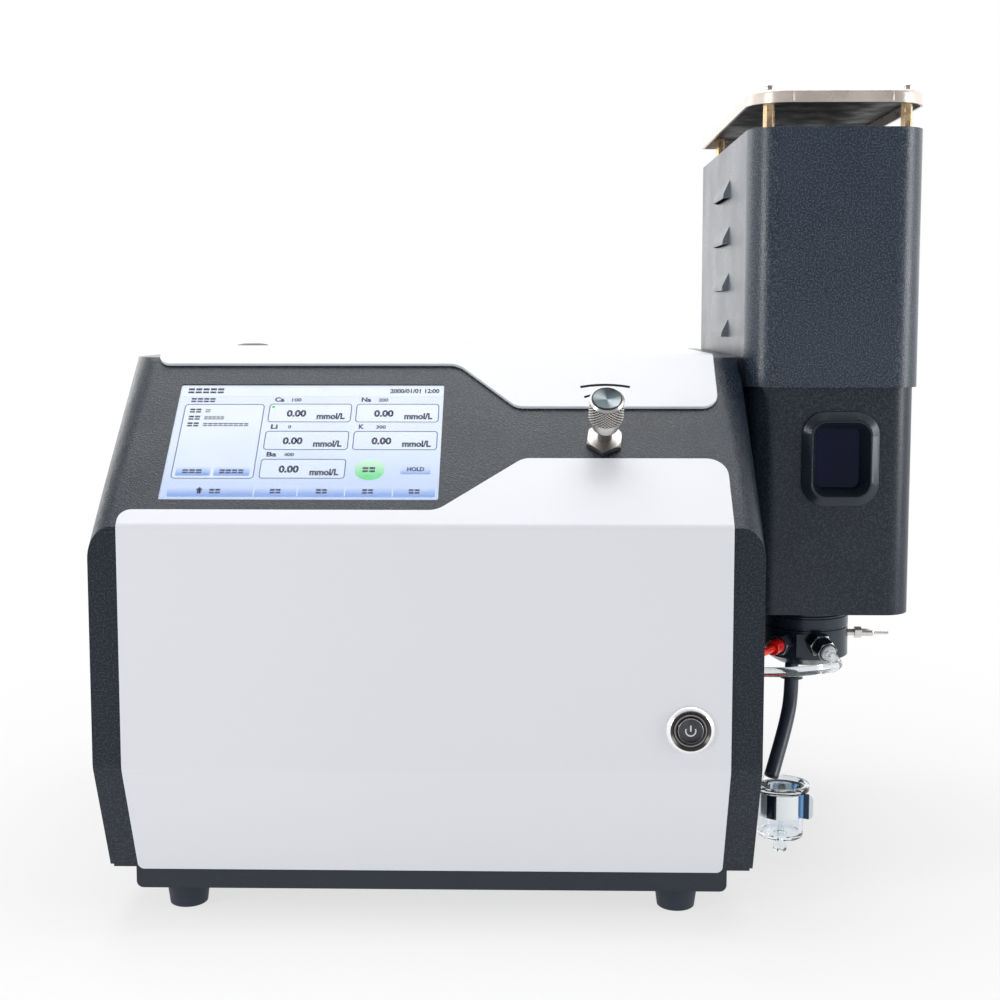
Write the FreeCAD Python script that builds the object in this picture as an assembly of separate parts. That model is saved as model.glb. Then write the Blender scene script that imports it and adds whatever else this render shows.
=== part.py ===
"""Bench flame photometer: a sloped-front console with a burner tower on its right side.

Units are millimetres. +Z is up, the console's front faces -Y, and the origin is under the
middle of the whole instrument, on the bench. Every physical piece is written to parts/NAME.step.
"""

import FreeCAD, Part
import math
import os

V = FreeCAD.Vector
X, Y, Z = V(1, 0, 0), V(0, 1, 0), V(0, 0, 1)

# ---------------------------------------------------------------- driving dimensions
# Console
BODY_WIDTH = 370.0
BODY_RIGHT = 129.5
BODY_LEFT = BODY_RIGHT - BODY_WIDTH
FRONT_Y = -188.0
REAR_Y = 146.0
FOOT_HEIGHT = 17.0
SHELL_BOTTOM = 31.5
KINK_Z = 98.0
LEAN_ANGLE = 24.0
BEND_Z = 232.5
SLOPE_ANGLE = 44.0
SLOPE_LENGTH = 129.0
WALL = 3.0
EDGE_RADIUS, EDGE_GROWTH = 13.0, 6.0
TOP_EDGE_RADIUS = 2.0
FOLD_RADIUS = 4.0
SHEET = 2.0

# Light-coloured covers: their edges across X, and up the slope from the front bend
PANEL_LEFT, PANEL_RIGHT = -224.0, 112.0
PANEL_BOTTOM = 30.0
PANEL_LOW_EDGE, PANEL_HIGH_EDGE = 10.6, 48.0
COVER_LEFT, COVER_RIGHT = -221.0, 110.6
COVER_LOW_EDGE, COVER_HIGH_EDGE = 87.2, 121.6

# Seven-inch display
SCREEN_LEFT, SCREEN_LOW = -204.0, 20.0
SCREEN_WIDTH, SCREEN_HEIGHT = 154.1, 85.9
MODULE_WIDTH, MODULE_HEIGHT = 165.0, 100.0
GLASS_DEPTH = 1.0

# Front controls
KNOB_X, KNOB_UP = 43.9, 63.0
BUTTON_X, BUTTON_Z = 89.5, 121.3

# Burner tower
TOWER_LEFT, TOWER_RIGHT = 131.0, 235.5
TOWER_FRONT, TOWER_REAR = -99.0, 148.0
SLEEVE_BOTTOM, SLEEVE_TOP = 304.4, 457.5
SLEEVE_SHEET, SLEEVE_RADIUS = 1.6, 19.0
HOUSING_GAP = 2.4
HOUSING_BOTTOM = 166.3
SHIELD_BOTTOM, SHIELD_TOP = 471.6, 479.5
LOUVRE_TOPS = (434.9, 405.0, 374.8, 344.7)
LOUVRE_HEIGHT, LOUVRE_DEPTH = 11.5, 4.0
LOUVRE_FRONT, LOUVRE_REAR = -8.0, 55.0

# Burner, with the light path running left from the flame into the console
BURNER_X, BURNER_Y = 184.0, -14.0
CHAMBER_RADIUS = 27.6
CHAMBER_BOTTOM, CHAMBER_TOP = 120.1, 162.0
FLAME_Z = 262.6
WINDOW_X, WINDOW_Z = 187.4, 261.4
NEBULIZER_Z = 138.1

# Hoses: outer diameter, and the corners of the route that each one takes
DRAIN_DIAMETER = 9.4
DRAIN_ROUTE = [
    (174.2, -22.0, 108.9),
    (173.9, -23.0, 95.7),
    (170.1, -29.0, 81.1),
    (164.0, -39.5, 66.8),
    (157.4, -49.5, 51.2),
]
AIR_DIAMETER = 6.0
AIR_ROUTE = [
    (191.0, -59.4, 133.9),
    (194.2, -70.4, 131.2),
    (191.4, -82.0, 131.2),
    (182.5, -92.0, 132.0),
    (169.4, -96.8, 132.0),
    (155.7, -95.5, 130.6),
    (142.2, -89.5, 129.4),
    (127.5, -89.5, 129.4),
]
FUEL_DIAMETER = 5.0
FUEL_ROUTE = [
    (155.3, -56.3, 136.4),
    (148.3, -67.2, 136.1),
    (138.6, -72.6, 135.8),
    (127.5, -72.6, 135.8),
]

# Drain cup, in a spring clip on the console's side
CUP_X, CUP_Y = 162.5, -57.0
CUP_RADIUS, CUP_WALL, CUP_RIM = 14.2, 2.2, 4.0
CUP_BOTTOM, CUP_TOP = 15.4, 49.6
CLIP_BOTTOM, CLIP_TOP = 29.5, 45.6

# Rear services
REGULATOR_X, REGULATOR_Y = -215.3, 170.0
INLET_X, INLET_Z = 70.0, 66.0
FUEL_INLET_X, FUEL_INLET_Z = 0.0, 66.0

FEET = [(-201.0, -134.0), (88.0, -134.0), (-201.0, 118.0), (88.0, 118.0)]
BOARD_POSTS = [(-190.0, -110.0), (-50.0, -110.0), (-190.0, 20.0), (-50.0, 20.0)]


# ---------------------------------------------------------------- shape helpers
def box(x0, x1, y0, y1, z0, z1):
    """A block between two corners."""
    return Part.makeBox(x1 - x0, y1 - y0, z1 - z0, V(x0, y0, z0))


def rod(radius, start, direction, length):
    """A solid cylinder."""
    return Part.makeCylinder(radius, length, V(*start), V(*direction))


def pipe(outer, inner, start, direction, length):
    """A cylinder with a bore."""
    return rod(outer, start, direction, length).cut(rod(inner, start, direction, length))


def fuse(*shapes):
    """One solid from several that touch."""
    whole = shapes[0]
    for shape in shapes[1:]:
        whole = whole.fuse(shape)
    return whole.removeSplitter()


def cut(shape, *tools):
    """What is left of a shape after the tools are taken away."""
    for tool in tools:
        shape = shape.cut(tool)
    return shape


def group(*shapes):
    """Separate solids kept in one node."""
    return Part.makeCompound([solid for shape in shapes for solid in shape.Solids])


def outline(corners):
    """A closed flat wire through (x, y, radius) corners, each rounded by a tangent arc."""
    arcs = []
    count = len(corners)
    for i, (x, y, radius) in enumerate(corners):
        corner = V(x, y, 0)
        before = V(*corners[i - 1][:2], 0) - corner
        after = V(*corners[(i + 1) % count][:2], 0) - corner
        half = before.getAngle(after) / 2
        if radius <= 0:
            arcs.append((corner, None, corner))
            continue
        before.normalize()
        after.normalize()
        reach = radius / math.tan(half)
        middle = (before + after).normalize()
        bulge = corner + middle * (radius / math.sin(half) - radius)
        arcs.append((corner + before * reach, bulge, corner + after * reach))
    edges = []
    for i, (start, bulge, end) in enumerate(arcs):
        if bulge is not None:
            edges.append(Part.Arc(start, bulge, end).toShape())
        following = arcs[(i + 1) % count][0]
        if end.distanceToPoint(following) > 1e-6:
            edges.append(Part.LineSegment(end, following).toShape())
    return Part.Wire(edges)


def slab(corners, thickness):
    """A flat plate with its underside on the local XY plane."""
    return Part.Face(outline(corners)).extrude(Z * thickness)


def rectangle(x0, x1, y0, y1, radius):
    """Corners of a rounded rectangle."""
    return [(x0, y0, radius), (x1, y0, radius), (x1, y1, radius), (x0, y1, radius)]


def turned(profile):
    """A solid turned about the local Z axis from (radius, height) points."""
    points = [V(r, 0, z) for r, z in profile]
    wire = Part.makePolygon(points + [points[0]])
    return Part.Face(wire).revolve(V(0, 0, 0), Z, 360)


def hexagon(across_flats, height):
    """A hexagonal prism with the top corners broken, standing on the local XY plane."""
    reach = across_flats / math.sqrt(3)
    points = [V(reach, 0, 0)]
    points += [V(reach * math.cos(a), reach * math.sin(a), 0)
               for a in (math.radians(60 * i) for i in range(1, 6))]
    prism = Part.Face(Part.makePolygon(points + [points[0]])).extrude(Z * height)
    slope = (reach - across_flats / 2) * 0.6
    chamfered = turned([(0, 0), (reach + 1, 0), (reach + 1, height - slope - 0.6),
                        (across_flats / 2 * 0.98, height), (0, height)])
    return prism.common(chamfered)


def placed(shape, position, direction=(0, 0, 1), turn=0.0):
    """A copy of a local shape with its Z axis along a direction."""
    spin = FreeCAD.Rotation(Z, turn)
    aim = FreeCAD.Rotation(Z, V(*direction))
    moved = shape.copy()
    moved.Placement = FreeCAD.Placement(V(*position), aim.multiply(spin))
    return moved


def on_slope(shape, x=0.0, up=0.0, out=0.0):
    """A local shape (X right, Y up the slope, Z outwards) put on the sloped face."""
    frame = FreeCAD.Placement(V(0, FRONT_Y, BEND_Z), FreeCAD.Rotation(X, SLOPE_ANGLE))
    moved = shape.copy()
    moved.Placement = frame.multiply(FreeCAD.Placement(V(x, up, out), FreeCAD.Rotation()))
    return moved


def along_x(corners, x0, x1):
    """A side outline of (y, z, radius) corners, extruded across X."""
    solid = slab(corners, x1 - x0)
    solid.Placement = FreeCAD.Placement(V(x0, 0, 0), FreeCAD.Rotation(V(1, 1, 1), 120))
    return solid


def facing_front(corners, y_front, depth):
    """An outline of (x, z, radius) corners, extruded backwards from a plane that faces -Y."""
    solid = slab(corners, depth)
    solid.Placement = FreeCAD.Placement(V(0, y_front + depth, 0), FreeCAD.Rotation(X, 90))
    return solid


def hose(route, diameter):
    """A tube of straight runs joined by tangent arcs, each as large as its runs allow."""
    points = [V(*p) for p in route]
    edges, start = [], points[0]
    for before, corner, after in zip(points, points[1:], points[2:]):
        back, ahead = before - corner, after - corner
        reach = 0.45 * min(back.Length, ahead.Length)
        half = back.getAngle(ahead) / 2
        radius = reach * math.tan(half)
        print(f"  hose {diameter} mm: bend radius {radius:.1f} mm = {radius / diameter:.1f} diameters")
        back.normalize()
        ahead.normalize()
        middle = (back + ahead).normalize()
        first, last = corner + back * reach, corner + ahead * reach
        bulge = corner + middle * (radius / math.sin(half) - radius)
        edges.append(Part.LineSegment(start, first).toShape())
        edges.append(Part.Arc(first, bulge, last).toShape())
        start = last
    edges.append(Part.LineSegment(start, points[-1]).toShape())
    path = Part.Wire(edges)
    ring = Part.Wire([Part.Circle(points[0], points[1] - points[0], diameter / 2).toShape()])
    tube = path.makePipeShell([ring], True, False)
    expected = math.pi * diameter ** 2 / 4 * path.Length
    print(f"  length {path.Length:.1f} mm, volume {tube.Volume / expected:.4f} of section times length")
    return tube


# ---------------------------------------------------------------- console outlines
LEAN = math.radians(LEAN_ANGLE)
SLOPE = math.radians(SLOPE_ANGLE)
FOLD_Y = FRONT_Y + SLOPE_LENGTH * math.cos(SLOPE)
BODY_TOP = BEND_Z + SLOPE_LENGTH * math.sin(SLOPE)
FOOT_Y = FRONT_Y + (KINK_Z - SHELL_BOTTOM) * math.tan(LEAN)


def side_profile(inset, rear, bottom, bend, kink, fold):
    """The console's side outline, moved inwards by inset, as (y, z, radius) corners."""
    front = FRONT_Y + inset
    lean_shift = inset * math.tan(LEAN / 2)
    bend_shift = inset * math.tan((math.pi / 2 - SLOPE) / 2)
    fold_shift = inset * math.tan(SLOPE / 2)
    low_front = front + (KINK_Z + lean_shift - bottom) * math.tan(LEAN)
    return [
        (low_front, bottom, 0),
        (front, KINK_Z + lean_shift, kink),
        (front, BEND_Z - bend_shift, bend),
        (FOLD_Y + fold_shift, BODY_TOP - inset, fold),
        (rear, BODY_TOP - inset, 0),
        (rear, bottom, 0),
    ]


def upper_side_edges(body, left, right, rear):
    """The long edges of a body's two sides above the front bend, as (edge, runs uphill)."""
    found = []
    for edge in body.Edges:
        start, end = edge.valueAt(edge.FirstParameter), edge.valueAt(edge.LastParameter)
        middle = edge.valueAt((edge.FirstParameter + edge.LastParameter) / 2)
        on_side = min(abs(middle.x - left), abs(middle.x - right)) < 0.01
        if on_side and abs(start.x - end.x) < 0.01 and BEND_Z < middle.z and middle.y < rear - 0.5:
            found.append((edge, start.z < end.z))
    return found


def rounded_body(inset, rear, bottom):
    """The console's closed form: side edges of the slope rounded, more so towards its top."""
    left, right = BODY_LEFT + inset, BODY_RIGHT - inset
    fold = max(FOLD_RADIUS - inset, 0)
    body = along_x(side_profile(inset, rear, bottom, 0, 12, fold), left, right)
    if inset < TOP_EDGE_RADIUS:
        edges = [edge for edge, _ in upper_side_edges(body, left, right, rear)]
        body = body.makeFillet(TOP_EDGE_RADIUS - inset, edges)
    front, bend = side_profile(inset, rear, bottom, 0, 12, fold)[2][:2]
    reach = 1.6 * SLOPE_LENGTH
    high = bend + reach * math.sin(SLOPE)
    wedge = along_x([
        *side_profile(inset, rear, bottom, 0, 0, 0)[:3],
        (front + reach * math.cos(SLOPE), high, 0), (rear, high, 0), (rear, bottom, 0)], left, right)
    for x in (left, right):
        for edge, uphill in upper_side_edges(wedge, x, x, rear):
            middle = edge.valueAt((edge.FirstParameter + edge.LastParameter) / 2)
            if middle.z < high - 1:
                radii = [EDGE_RADIUS - inset, EDGE_RADIUS - inset + 1.6 * EDGE_GROWTH]
                wedge = wedge.makeFillet(*(radii if uphill else radii[::-1]), [edge])
                break
    return body.common(wedge)


# ---------------------------------------------------------------- case
def base_tray():
    left, right, front, rear = -226.0, 115.0, -157.0, 143.0
    lip_top = SHELL_BOTTOM
    tub = box(left, right, front, rear, FOOT_HEIGHT, lip_top)
    corner_edges = [e for e in tub.Edges
                    if e.BoundBox.YLength > 100 and e.BoundBox.ZMax < FOOT_HEIGHT + 1]
    tub = tub.makeFillet(4, corner_edges)
    hollow = box(left + SHEET, right - SHEET, front + SHEET, rear - SHEET,
                 FOOT_HEIGHT + SHEET, lip_top + 1)
    flange = box(BODY_LEFT + 1.5, BODY_RIGHT - 1.5, front, rear, lip_top - SHEET, lip_top)
    tray = cut(fuse(tub, flange), hollow)
    bosses = [rod(4, (x, y, FOOT_HEIGHT + 1), (0, 0, 1), 9) for x, y in BOARD_POSTS]
    nuts = [rod(4.5, (x, y, FOOT_HEIGHT + 1), (0, 0, 1), 6) for x, y in FEET]
    tray = fuse(tray, *bosses, *nuts)
    holes = [rod(2, (x, y, 0), (0, 0, 1), 40) for x, y in FEET]
    holes += [rod(1.5, (x, y, 21), (0, 0, 1), 20) for x, y in BOARD_POSTS]
    slots = [box(x, x + 50, y, y + 4, 10, 25) for x in (-20, 40) for y in range(-70, 50, 12)]
    return cut(tray, *holes, *slots)


def rubber_feet():
    foot = turned([(2.1, 9), (5.2, 9), (5.2, 0), (10.4, 0), (11, 0.6), (13, 15.5),
                   (12.5, FOOT_HEIGHT), (2.1, FOOT_HEIGHT)])
    return group(*[placed(foot, (x, y, 0)) for x, y in FEET])


def case_screws():
    foot_screw = turned([(0, 6.4), (3.8, 6.4), (4, 7), (4, 9), (2, 9), (2, 23), (0, 23)])
    panel_screw = turned([(0, -5), (1.5, -5), (1.5, 0), (3, 0), (3, 1.2), (2.2, 2), (0, 2)])
    socket = rod(1.1, (0, 0, 0.8), (0, 0, 1), 3)
    panel_screw = panel_screw.cut(socket)
    feet = [placed(foot_screw, (x, y, 0)) for x, y in FEET]
    rear = [placed(panel_screw, (x, REAR_Y - 1, z), (0, 1, 0)) for x, z in rear_screw_places()]
    board = [placed(panel_screw, (x, y, 28.6)) for x, y in BOARD_POSTS]
    return group(*feet, *rear, *board)


def rear_screw_places():
    """(x, z) of the screws round the edge of the rear panel."""
    left, right = BODY_LEFT + 8.5, BODY_RIGHT - 8.5
    across = [left + (right - left) * i / 3 for i in range(4)]
    places = [(x, 36.0) for x in across]
    places += [(x, BODY_TOP - 9) for x in across[1:3]]
    places += [(x, z) for x in (left, right) for z in (170, 300)]
    return places


def outer_shell():
    outer = rounded_body(0, REAR_Y, SHELL_BOTTOM)
    cavity = rounded_body(WALL, REAR_Y - 6, SHELL_BOTTOM - 5)
    panel_seat = facing_front(
        rectangle(BODY_LEFT + WALL, BODY_RIGHT - WALL, 10, BODY_TOP - WALL, EDGE_RADIUS - WALL),
        REAR_Y - 3, 10)
    rear_way = facing_front(
        rectangle(BODY_LEFT + 14, BODY_RIGHT - 14, 40, BODY_TOP - 16, 6), REAR_Y - 8, 12)
    shell = cut(outer, cavity, panel_seat, rear_way)
    screen_window = on_slope(
        slab(rectangle(0, SCREEN_WIDTH + 1.4, 0, SCREEN_HEIGHT + 1.4, 1.2), 10),
        SCREEN_LEFT - 0.7, SCREEN_LOW - 0.7, -5)
    centre_x, centre_up = SCREEN_LEFT + SCREEN_WIDTH / 2, SCREEN_LOW + SCREEN_HEIGHT / 2
    pocket = on_slope(
        slab(rectangle(-MODULE_WIDTH / 2 - 0.4, MODULE_WIDTH / 2 + 0.4,
                       -MODULE_HEIGHT / 2 - 0.4, MODULE_HEIGHT / 2 + 0.4, 2), 12),
        centre_x, centre_up, -12 - GLASS_DEPTH)
    valve_hole = on_slope(rod(4.2, (0, 0, -10), (0, 0, 1), 20), KNOB_X, KNOB_UP)
    button_hole = rod(11.1, (BUTTON_X, FRONT_Y - 5, BUTTON_Z), (0, 1, 0), 15)
    light_hole = rod(14.3, (BODY_RIGHT - 8, BURNER_Y, FLAME_Z), (1, 0, 0), 20)
    hose_holes = [rod(5.5, (BODY_RIGHT - 8, y, z), (1, 0, 0), 20)
                  for y, z in (AIR_ROUTE[-1][1:], FUEL_ROUTE[-1][1:])]
    screw_holes = [rod(1.5, (x, REAR_Y - 10, z), (0, 1, 0), 20) for x, z in rear_screw_places()]
    return cut(shell, screen_window, pocket, valve_hole, button_hole, light_hole,
               *hose_holes, *screw_holes)


def front_panel():
    """Bent sheet over the lower slope, the upright front and the leaning skirt."""
    thickness = SHEET
    low = FRONT_Y + (KINK_Z - PANEL_BOTTOM) * math.tan(LEAN)
    normal_y, normal_z = -math.cos(LEAN), -math.sin(LEAN)
    up_y, up_z = math.cos(SLOPE), math.sin(SLOPE)
    out_y, out_z = -math.sin(SLOPE), math.cos(SLOPE)
    top = PANEL_HIGH_EDGE
    bend_shift = thickness * math.tan((math.pi / 2 - SLOPE) / 2)
    lean_shift = thickness * math.tan(LEAN / 2)
    inner = [(low, PANEL_BOTTOM, 0), (FRONT_Y, KINK_Z, 12), (FRONT_Y, BEND_Z, 0),
             (FRONT_Y + top * up_y, BEND_Z + top * up_z, 0)]
    outer = [(FRONT_Y + top * up_y + thickness * out_y, BEND_Z + top * up_z + thickness * out_z, 0),
             (FRONT_Y - thickness, BEND_Z + bend_shift, 5),
             (FRONT_Y - thickness, KINK_Z - lean_shift, 14),
             (low + thickness * normal_y, PANEL_BOTTOM + thickness * normal_z, 0)]
    panel = along_x(inner + outer, PANEL_LEFT, PANEL_RIGHT)
    step = on_slope(slab([
        (PANEL_LEFT - 20, PANEL_LOW_EDGE, 0), (-49.4, PANEL_LOW_EDGE, 13),
        (-2.4, PANEL_HIGH_EDGE, 11), (PANEL_RIGHT + 20, PANEL_HIGH_EDGE, 0),
        (PANEL_RIGHT + 20, 90, 0), (PANEL_LEFT - 20, 90, 0)], 20), 0, 0, -10)
    left_corner = on_slope(cut(
        slab(rectangle(PANEL_LEFT - 5, PANEL_LEFT + 7, PANEL_LOW_EDGE - 7, PANEL_LOW_EDGE + 5, 0), 20),
        rod(7, (PANEL_LEFT + 7, PANEL_LOW_EDGE - 7, 0), (0, 0, 1), 20)), 0, 0, -10)
    right_corner = on_slope(cut(
        slab(rectangle(PANEL_RIGHT - 12, PANEL_RIGHT + 5, PANEL_HIGH_EDGE - 12, PANEL_HIGH_EDGE + 5, 0), 20),
        rod(12, (PANEL_RIGHT - 12, PANEL_HIGH_EDGE - 12, 0), (0, 0, 1), 20)), 0, 0, -10)
    button_hole = rod(11.1, (BUTTON_X, FRONT_Y - 5, BUTTON_Z), (0, 1, 0), 15)
    foot_corners = []
    for x, side in ((PANEL_LEFT, 1), (PANEL_RIGHT, -1)):
        square = facing_front(rectangle(*sorted((x - 5 * side, x + 4 * side)),
                                        PANEL_BOTTOM - 6, PANEL_BOTTOM + 3, 0), -220, 120)
        round_off = rod(4, (x + 4 * side, -230, PANEL_BOTTOM + 3), (0, 1, 0), 140)
        foot_corners.append(square.cut(round_off))
    return cut(panel, step, left_corner, right_corner, button_hole, *foot_corners)


def top_cover():
    """Bent sheet over the upper slope and the flat top."""
    thickness = SHEET + 0.2
    rear = REAR_Y - 2
    start = COVER_HIGH_EDGE - 60
    up_y, up_z = math.cos(SLOPE), math.sin(SLOPE)
    out_y, out_z = -math.sin(SLOPE), math.cos(SLOPE)
    low_y, low_z = FRONT_Y + start * up_y, BEND_Z + start * up_z
    fold_shift = thickness * math.tan(SLOPE / 2)
    inner = [(rear, BODY_TOP, 0), (FOLD_Y, BODY_TOP, FOLD_RADIUS), (low_y, low_z, 0)]
    outer = [(low_y + thickness * out_y, low_z + thickness * out_z, 0),
             (FOLD_Y - fold_shift, BODY_TOP + thickness, FOLD_RADIUS + thickness),
             (rear, BODY_TOP + thickness, 0)]
    cover = along_x(inner + outer, COVER_LEFT, COVER_RIGHT)
    below = on_slope(slab([
        (COVER_LEFT - 20, 0, 0), (COVER_RIGHT + 20, 0, 0),
        (COVER_RIGHT + 20, COVER_LOW_EDGE, 0), (-6.6, COVER_LOW_EDGE, 11),
        (-41.6, COVER_HIGH_EDGE, 13), (COVER_LEFT - 20, COVER_HIGH_EDGE, 0)], 30), 0, 0, -15)
    right_corner = on_slope(cut(
        slab(rectangle(COVER_RIGHT - 10, COVER_RIGHT + 5, COVER_LOW_EDGE - 5, COVER_LOW_EDGE + 10, 0), 30),
        rod(10, (COVER_RIGHT - 10, COVER_LOW_EDGE + 10, 0), (0, 0, 1), 30)), 0, 0, -15)
    left_corner = on_slope(cut(
        slab(rectangle(COVER_LEFT - 5, COVER_LEFT + 7, COVER_HIGH_EDGE - 5, COVER_HIGH_EDGE + 7, 0), 30),
        rod(7, (COVER_LEFT + 7, COVER_HIGH_EDGE + 7, 0), (0, 0, 1), 30)), 0, 0, -15)
    return cut(cover, below, right_corner, left_corner)


def rear_panel():
    sheet = facing_front(
        rectangle(BODY_LEFT + WALL + 0.3, BODY_RIGHT - WALL - 0.3, SHELL_BOTTOM,
                  BODY_TOP - WALL - 0.3, EDGE_RADIUS - WALL - 0.3), REAR_Y - 3, SHEET)
    inlet = box(INLET_X - 13.6, INLET_X + 13.6, REAR_Y - 10, REAR_Y + 5, INLET_Z - 23.6, INLET_Z + 23.6)
    fuel = rod(6.1, (FUEL_INLET_X, REAR_Y - 10, FUEL_INLET_Z), (0, 1, 0), 20)
    air = rod(5.1, (REGULATOR_X + 9, REAR_Y - 10, 281), (0, 1, 0), 20)
    screws = [rod(1.7, (x, REAR_Y - 10, z), (0, 1, 0), 20) for x, z in rear_screw_places()]
    vents = [facing_front(rectangle(x, x + 56, z, z + 4, 1.9), REAR_Y - 8, 12)
             for x in (-150, -70, 10) for z in range(150, 250, 12)]
    return cut(sheet, inlet, fuel, air, *screws, *vents)


# ---------------------------------------------------------------- display
SCREEN_X = SCREEN_LEFT + SCREEN_WIDTH / 2
SCREEN_UP = SCREEN_LOW + SCREEN_HEIGHT / 2
GLASS_SHEET, LCD_SHEET = 1.1, 5.5


def centred(width, height, radius):
    return rectangle(-width / 2, width / 2, -height / 2, height / 2, radius)


def touch_glass():
    glass = slab(centred(MODULE_WIDTH, MODULE_HEIGHT, 1.5), GLASS_SHEET)
    return on_slope(glass, SCREEN_X, SCREEN_UP, -GLASS_DEPTH - GLASS_SHEET)


def lcd_module():
    panel = slab(centred(MODULE_WIDTH, MODULE_HEIGHT, 1), LCD_SHEET)
    board = slab(centred(120, 70, 1), 2)
    board.translate(V(0, 0, -2))
    return on_slope(fuse(panel, board), SCREEN_X, SCREEN_UP, -GLASS_DEPTH - GLASS_SHEET - LCD_SHEET)


def lcd_bracket():
    depth = GLASS_DEPTH + GLASS_SHEET + LCD_SHEET
    plate = slab(centred(184, 112, 3), 1.5)
    window = slab(centred(126, 76, 3), 5)
    plate = plate.cut(window)
    posts = [rod(3, (sx * 88, sy * 50, 1), (0, 0, 1), depth - WALL + 0.5)
             for sx in (-1, 1) for sy in (-1, 1)]
    return on_slope(fuse(plate, *posts), SCREEN_X, SCREEN_UP, -depth - 1.5)


# ---------------------------------------------------------------- power button
def at_button(shape, out=0.0):
    """A local shape turned so that its Z axis points out of the front panel."""
    return placed(shape, (BUTTON_X, FRONT_Y - SHEET - out, BUTTON_Z), (0, -1, 0))


def button_bezel():
    return at_button(turned([
        (9.6, 1.2), (11.2, 2.4), (12.3, 2.4), (13.2, 1.5), (13.2, 0), (11, 0), (11, -26), (9.6, -26)]))


def button_cap():
    return at_button(cut(
        turned([(0, -9), (7.2, -9), (7.2, 1.6), (6.8, 2.1), (0, 2.1)]),
        turned([(0, 1.9), (6, 1.9), (6.4, 3), (0, 3)])))


def button_nut():
    nut = hexagon(27, 3.5).cut(rod(11, (0, 0, -1), (0, 0, 1), 9))
    return placed(nut, (BUTTON_X, FRONT_Y + WALL, BUTTON_Z), (0, 1, 0))


def switch_block():
    front_ring = turned([(7.5, -12), (9.6, -12), (9.6, 0.9), (9.3, 1.2), (7.9, 1.2), (7.5, 0.9)])
    barrel = turned([(0, -34), (9.6, -34), (9.6, -12), (0, -12)])
    terminals = [box(x - 0.4, x + 0.4, -3, 3, -42, -33) for x in (-5, 0, 5)]
    return at_button(fuse(front_ring, barrel, *terminals))


# ---------------------------------------------------------------- fine-tuning valve
NUT_HEIGHT, NECK_TOP = 3.2, 16.5
KNOB_START, KNOB_BAND, KNOB_GRIP, KNOB_TOP = 12.4, 15.6, 20.6, 35.6
KNOB_RADIUS, BAND_RADIUS, COLLAR_RADIUS = 10.0, 8.6, 7.6
SET_SCREW_HEIGHT = 24.1
KNOB_FLUTES = 44


def on_valve(shape, out=0.0):
    return on_slope(shape, KNOB_X, KNOB_UP, out)


def valve_body():
    neck = rod(4.1, (0, 0, -8), (0, 0, 1), 8 + NECK_TOP)
    block = placed(hexagon(20, 26), (0, 0, -WALL - 26))
    ports = [rod(3, (0, 0, -20), (side, 0, 0), 26) for side in (-1, 1)]
    collars = [rod(5, (side * 9, 0, -20), (side, 0, 0), 5) for side in (-1, 1)]
    bore = rod(2.05, (0, 0, -24), (0, 0, 1), 60)
    return on_valve(fuse(neck, block, *ports, *collars).cut(bore))


def valve_nut():
    nut = placed(hexagon(19.5, NUT_HEIGHT), (0, 0, 0), turn=22)
    return on_valve(nut.cut(rod(4.1, (0, 0, -1), (0, 0, 1), 9)))


def needle_spindle():
    needle = turned([(0, -21), (0.5, -21), (2, -16), (2, KNOB_TOP - 3), (0, KNOB_TOP - 3)])
    return on_valve(needle)


def fine_knob():
    """Turned knob: a narrow collar, a plain band, a grooved grip and a chamfered end face."""
    points = []
    for i in range(2 * KNOB_FLUTES):
        radius = KNOB_RADIUS if i % 2 == 0 else KNOB_RADIUS - 0.5
        angle = math.pi * i / KNOB_FLUTES
        points.append(V(radius * math.cos(angle), radius * math.sin(angle), KNOB_GRIP))
    grip = Part.Face(Part.makePolygon(points + [points[0]])).extrude(Z * (KNOB_TOP - KNOB_GRIP))
    limits = turned([(0, KNOB_GRIP), (KNOB_RADIUS + 1, KNOB_GRIP), (KNOB_RADIUS + 1, KNOB_TOP - 2.4),
                     (KNOB_RADIUS - 1.5, KNOB_TOP), (0, KNOB_TOP)])
    foot = turned([(0, KNOB_START), (COLLAR_RADIUS - 0.4, KNOB_START), (COLLAR_RADIUS, KNOB_START + 0.4),
                   (COLLAR_RADIUS, KNOB_BAND), (BAND_RADIUS - 0.5, KNOB_BAND),
                   (BAND_RADIUS, KNOB_BAND + 0.5), (BAND_RADIUS, KNOB_GRIP), (0, KNOB_GRIP)])
    neck_bore = rod(4.6, (0, 0, KNOB_START - 1), (0, 0, 1), 19.6 - KNOB_START + 1)
    spindle_bore = rod(2.05, (0, 0, KNOB_BAND), (0, 0, 1), KNOB_TOP - KNOB_BAND - 2.9)
    screw_hole = rod(1.25, (0, 0, SET_SCREW_HEIGHT), (0.6, -0.8, 0), 12)
    return on_valve(cut(fuse(grip.common(limits), foot), neck_bore, spindle_bore, screw_hole))


def knob_set_screw():
    screw = rod(1.25, (1.44, -1.92, SET_SCREW_HEIGHT), (0.6, -0.8, 0), 6.2)
    socket = rod(0.6, (3.6, -4.8, SET_SCREW_HEIGHT), (0.6, -0.8, 0), 6)
    return on_valve(screw.cut(socket))


# ---------------------------------------------------------------- electronics and optics
def main_board():
    board = box(-200, -40, -120, 30, 27, 28.6)
    chips = [box(x, x + w, y, y + d, 28, 28.6 + h) for x, y, w, d, h in (
        (-180, -100, 24, 24, 3), (-140, -100, 14, 10, 2.5), (-110, -95, 30, 12, 10),
        (-180, -50, 40, 14, 12), (-120, -50, 16, 16, 18), (-80, -60, 22, 34, 9),
        (-190, 5, 60, 12, 14), (-100, 5, 40, 12, 14))]
    holes = [rod(1.6, (x, y, 20), (0, 0, 1), 20) for x, y in BOARD_POSTS]
    return cut(fuse(board, *chips), *holes)


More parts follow.
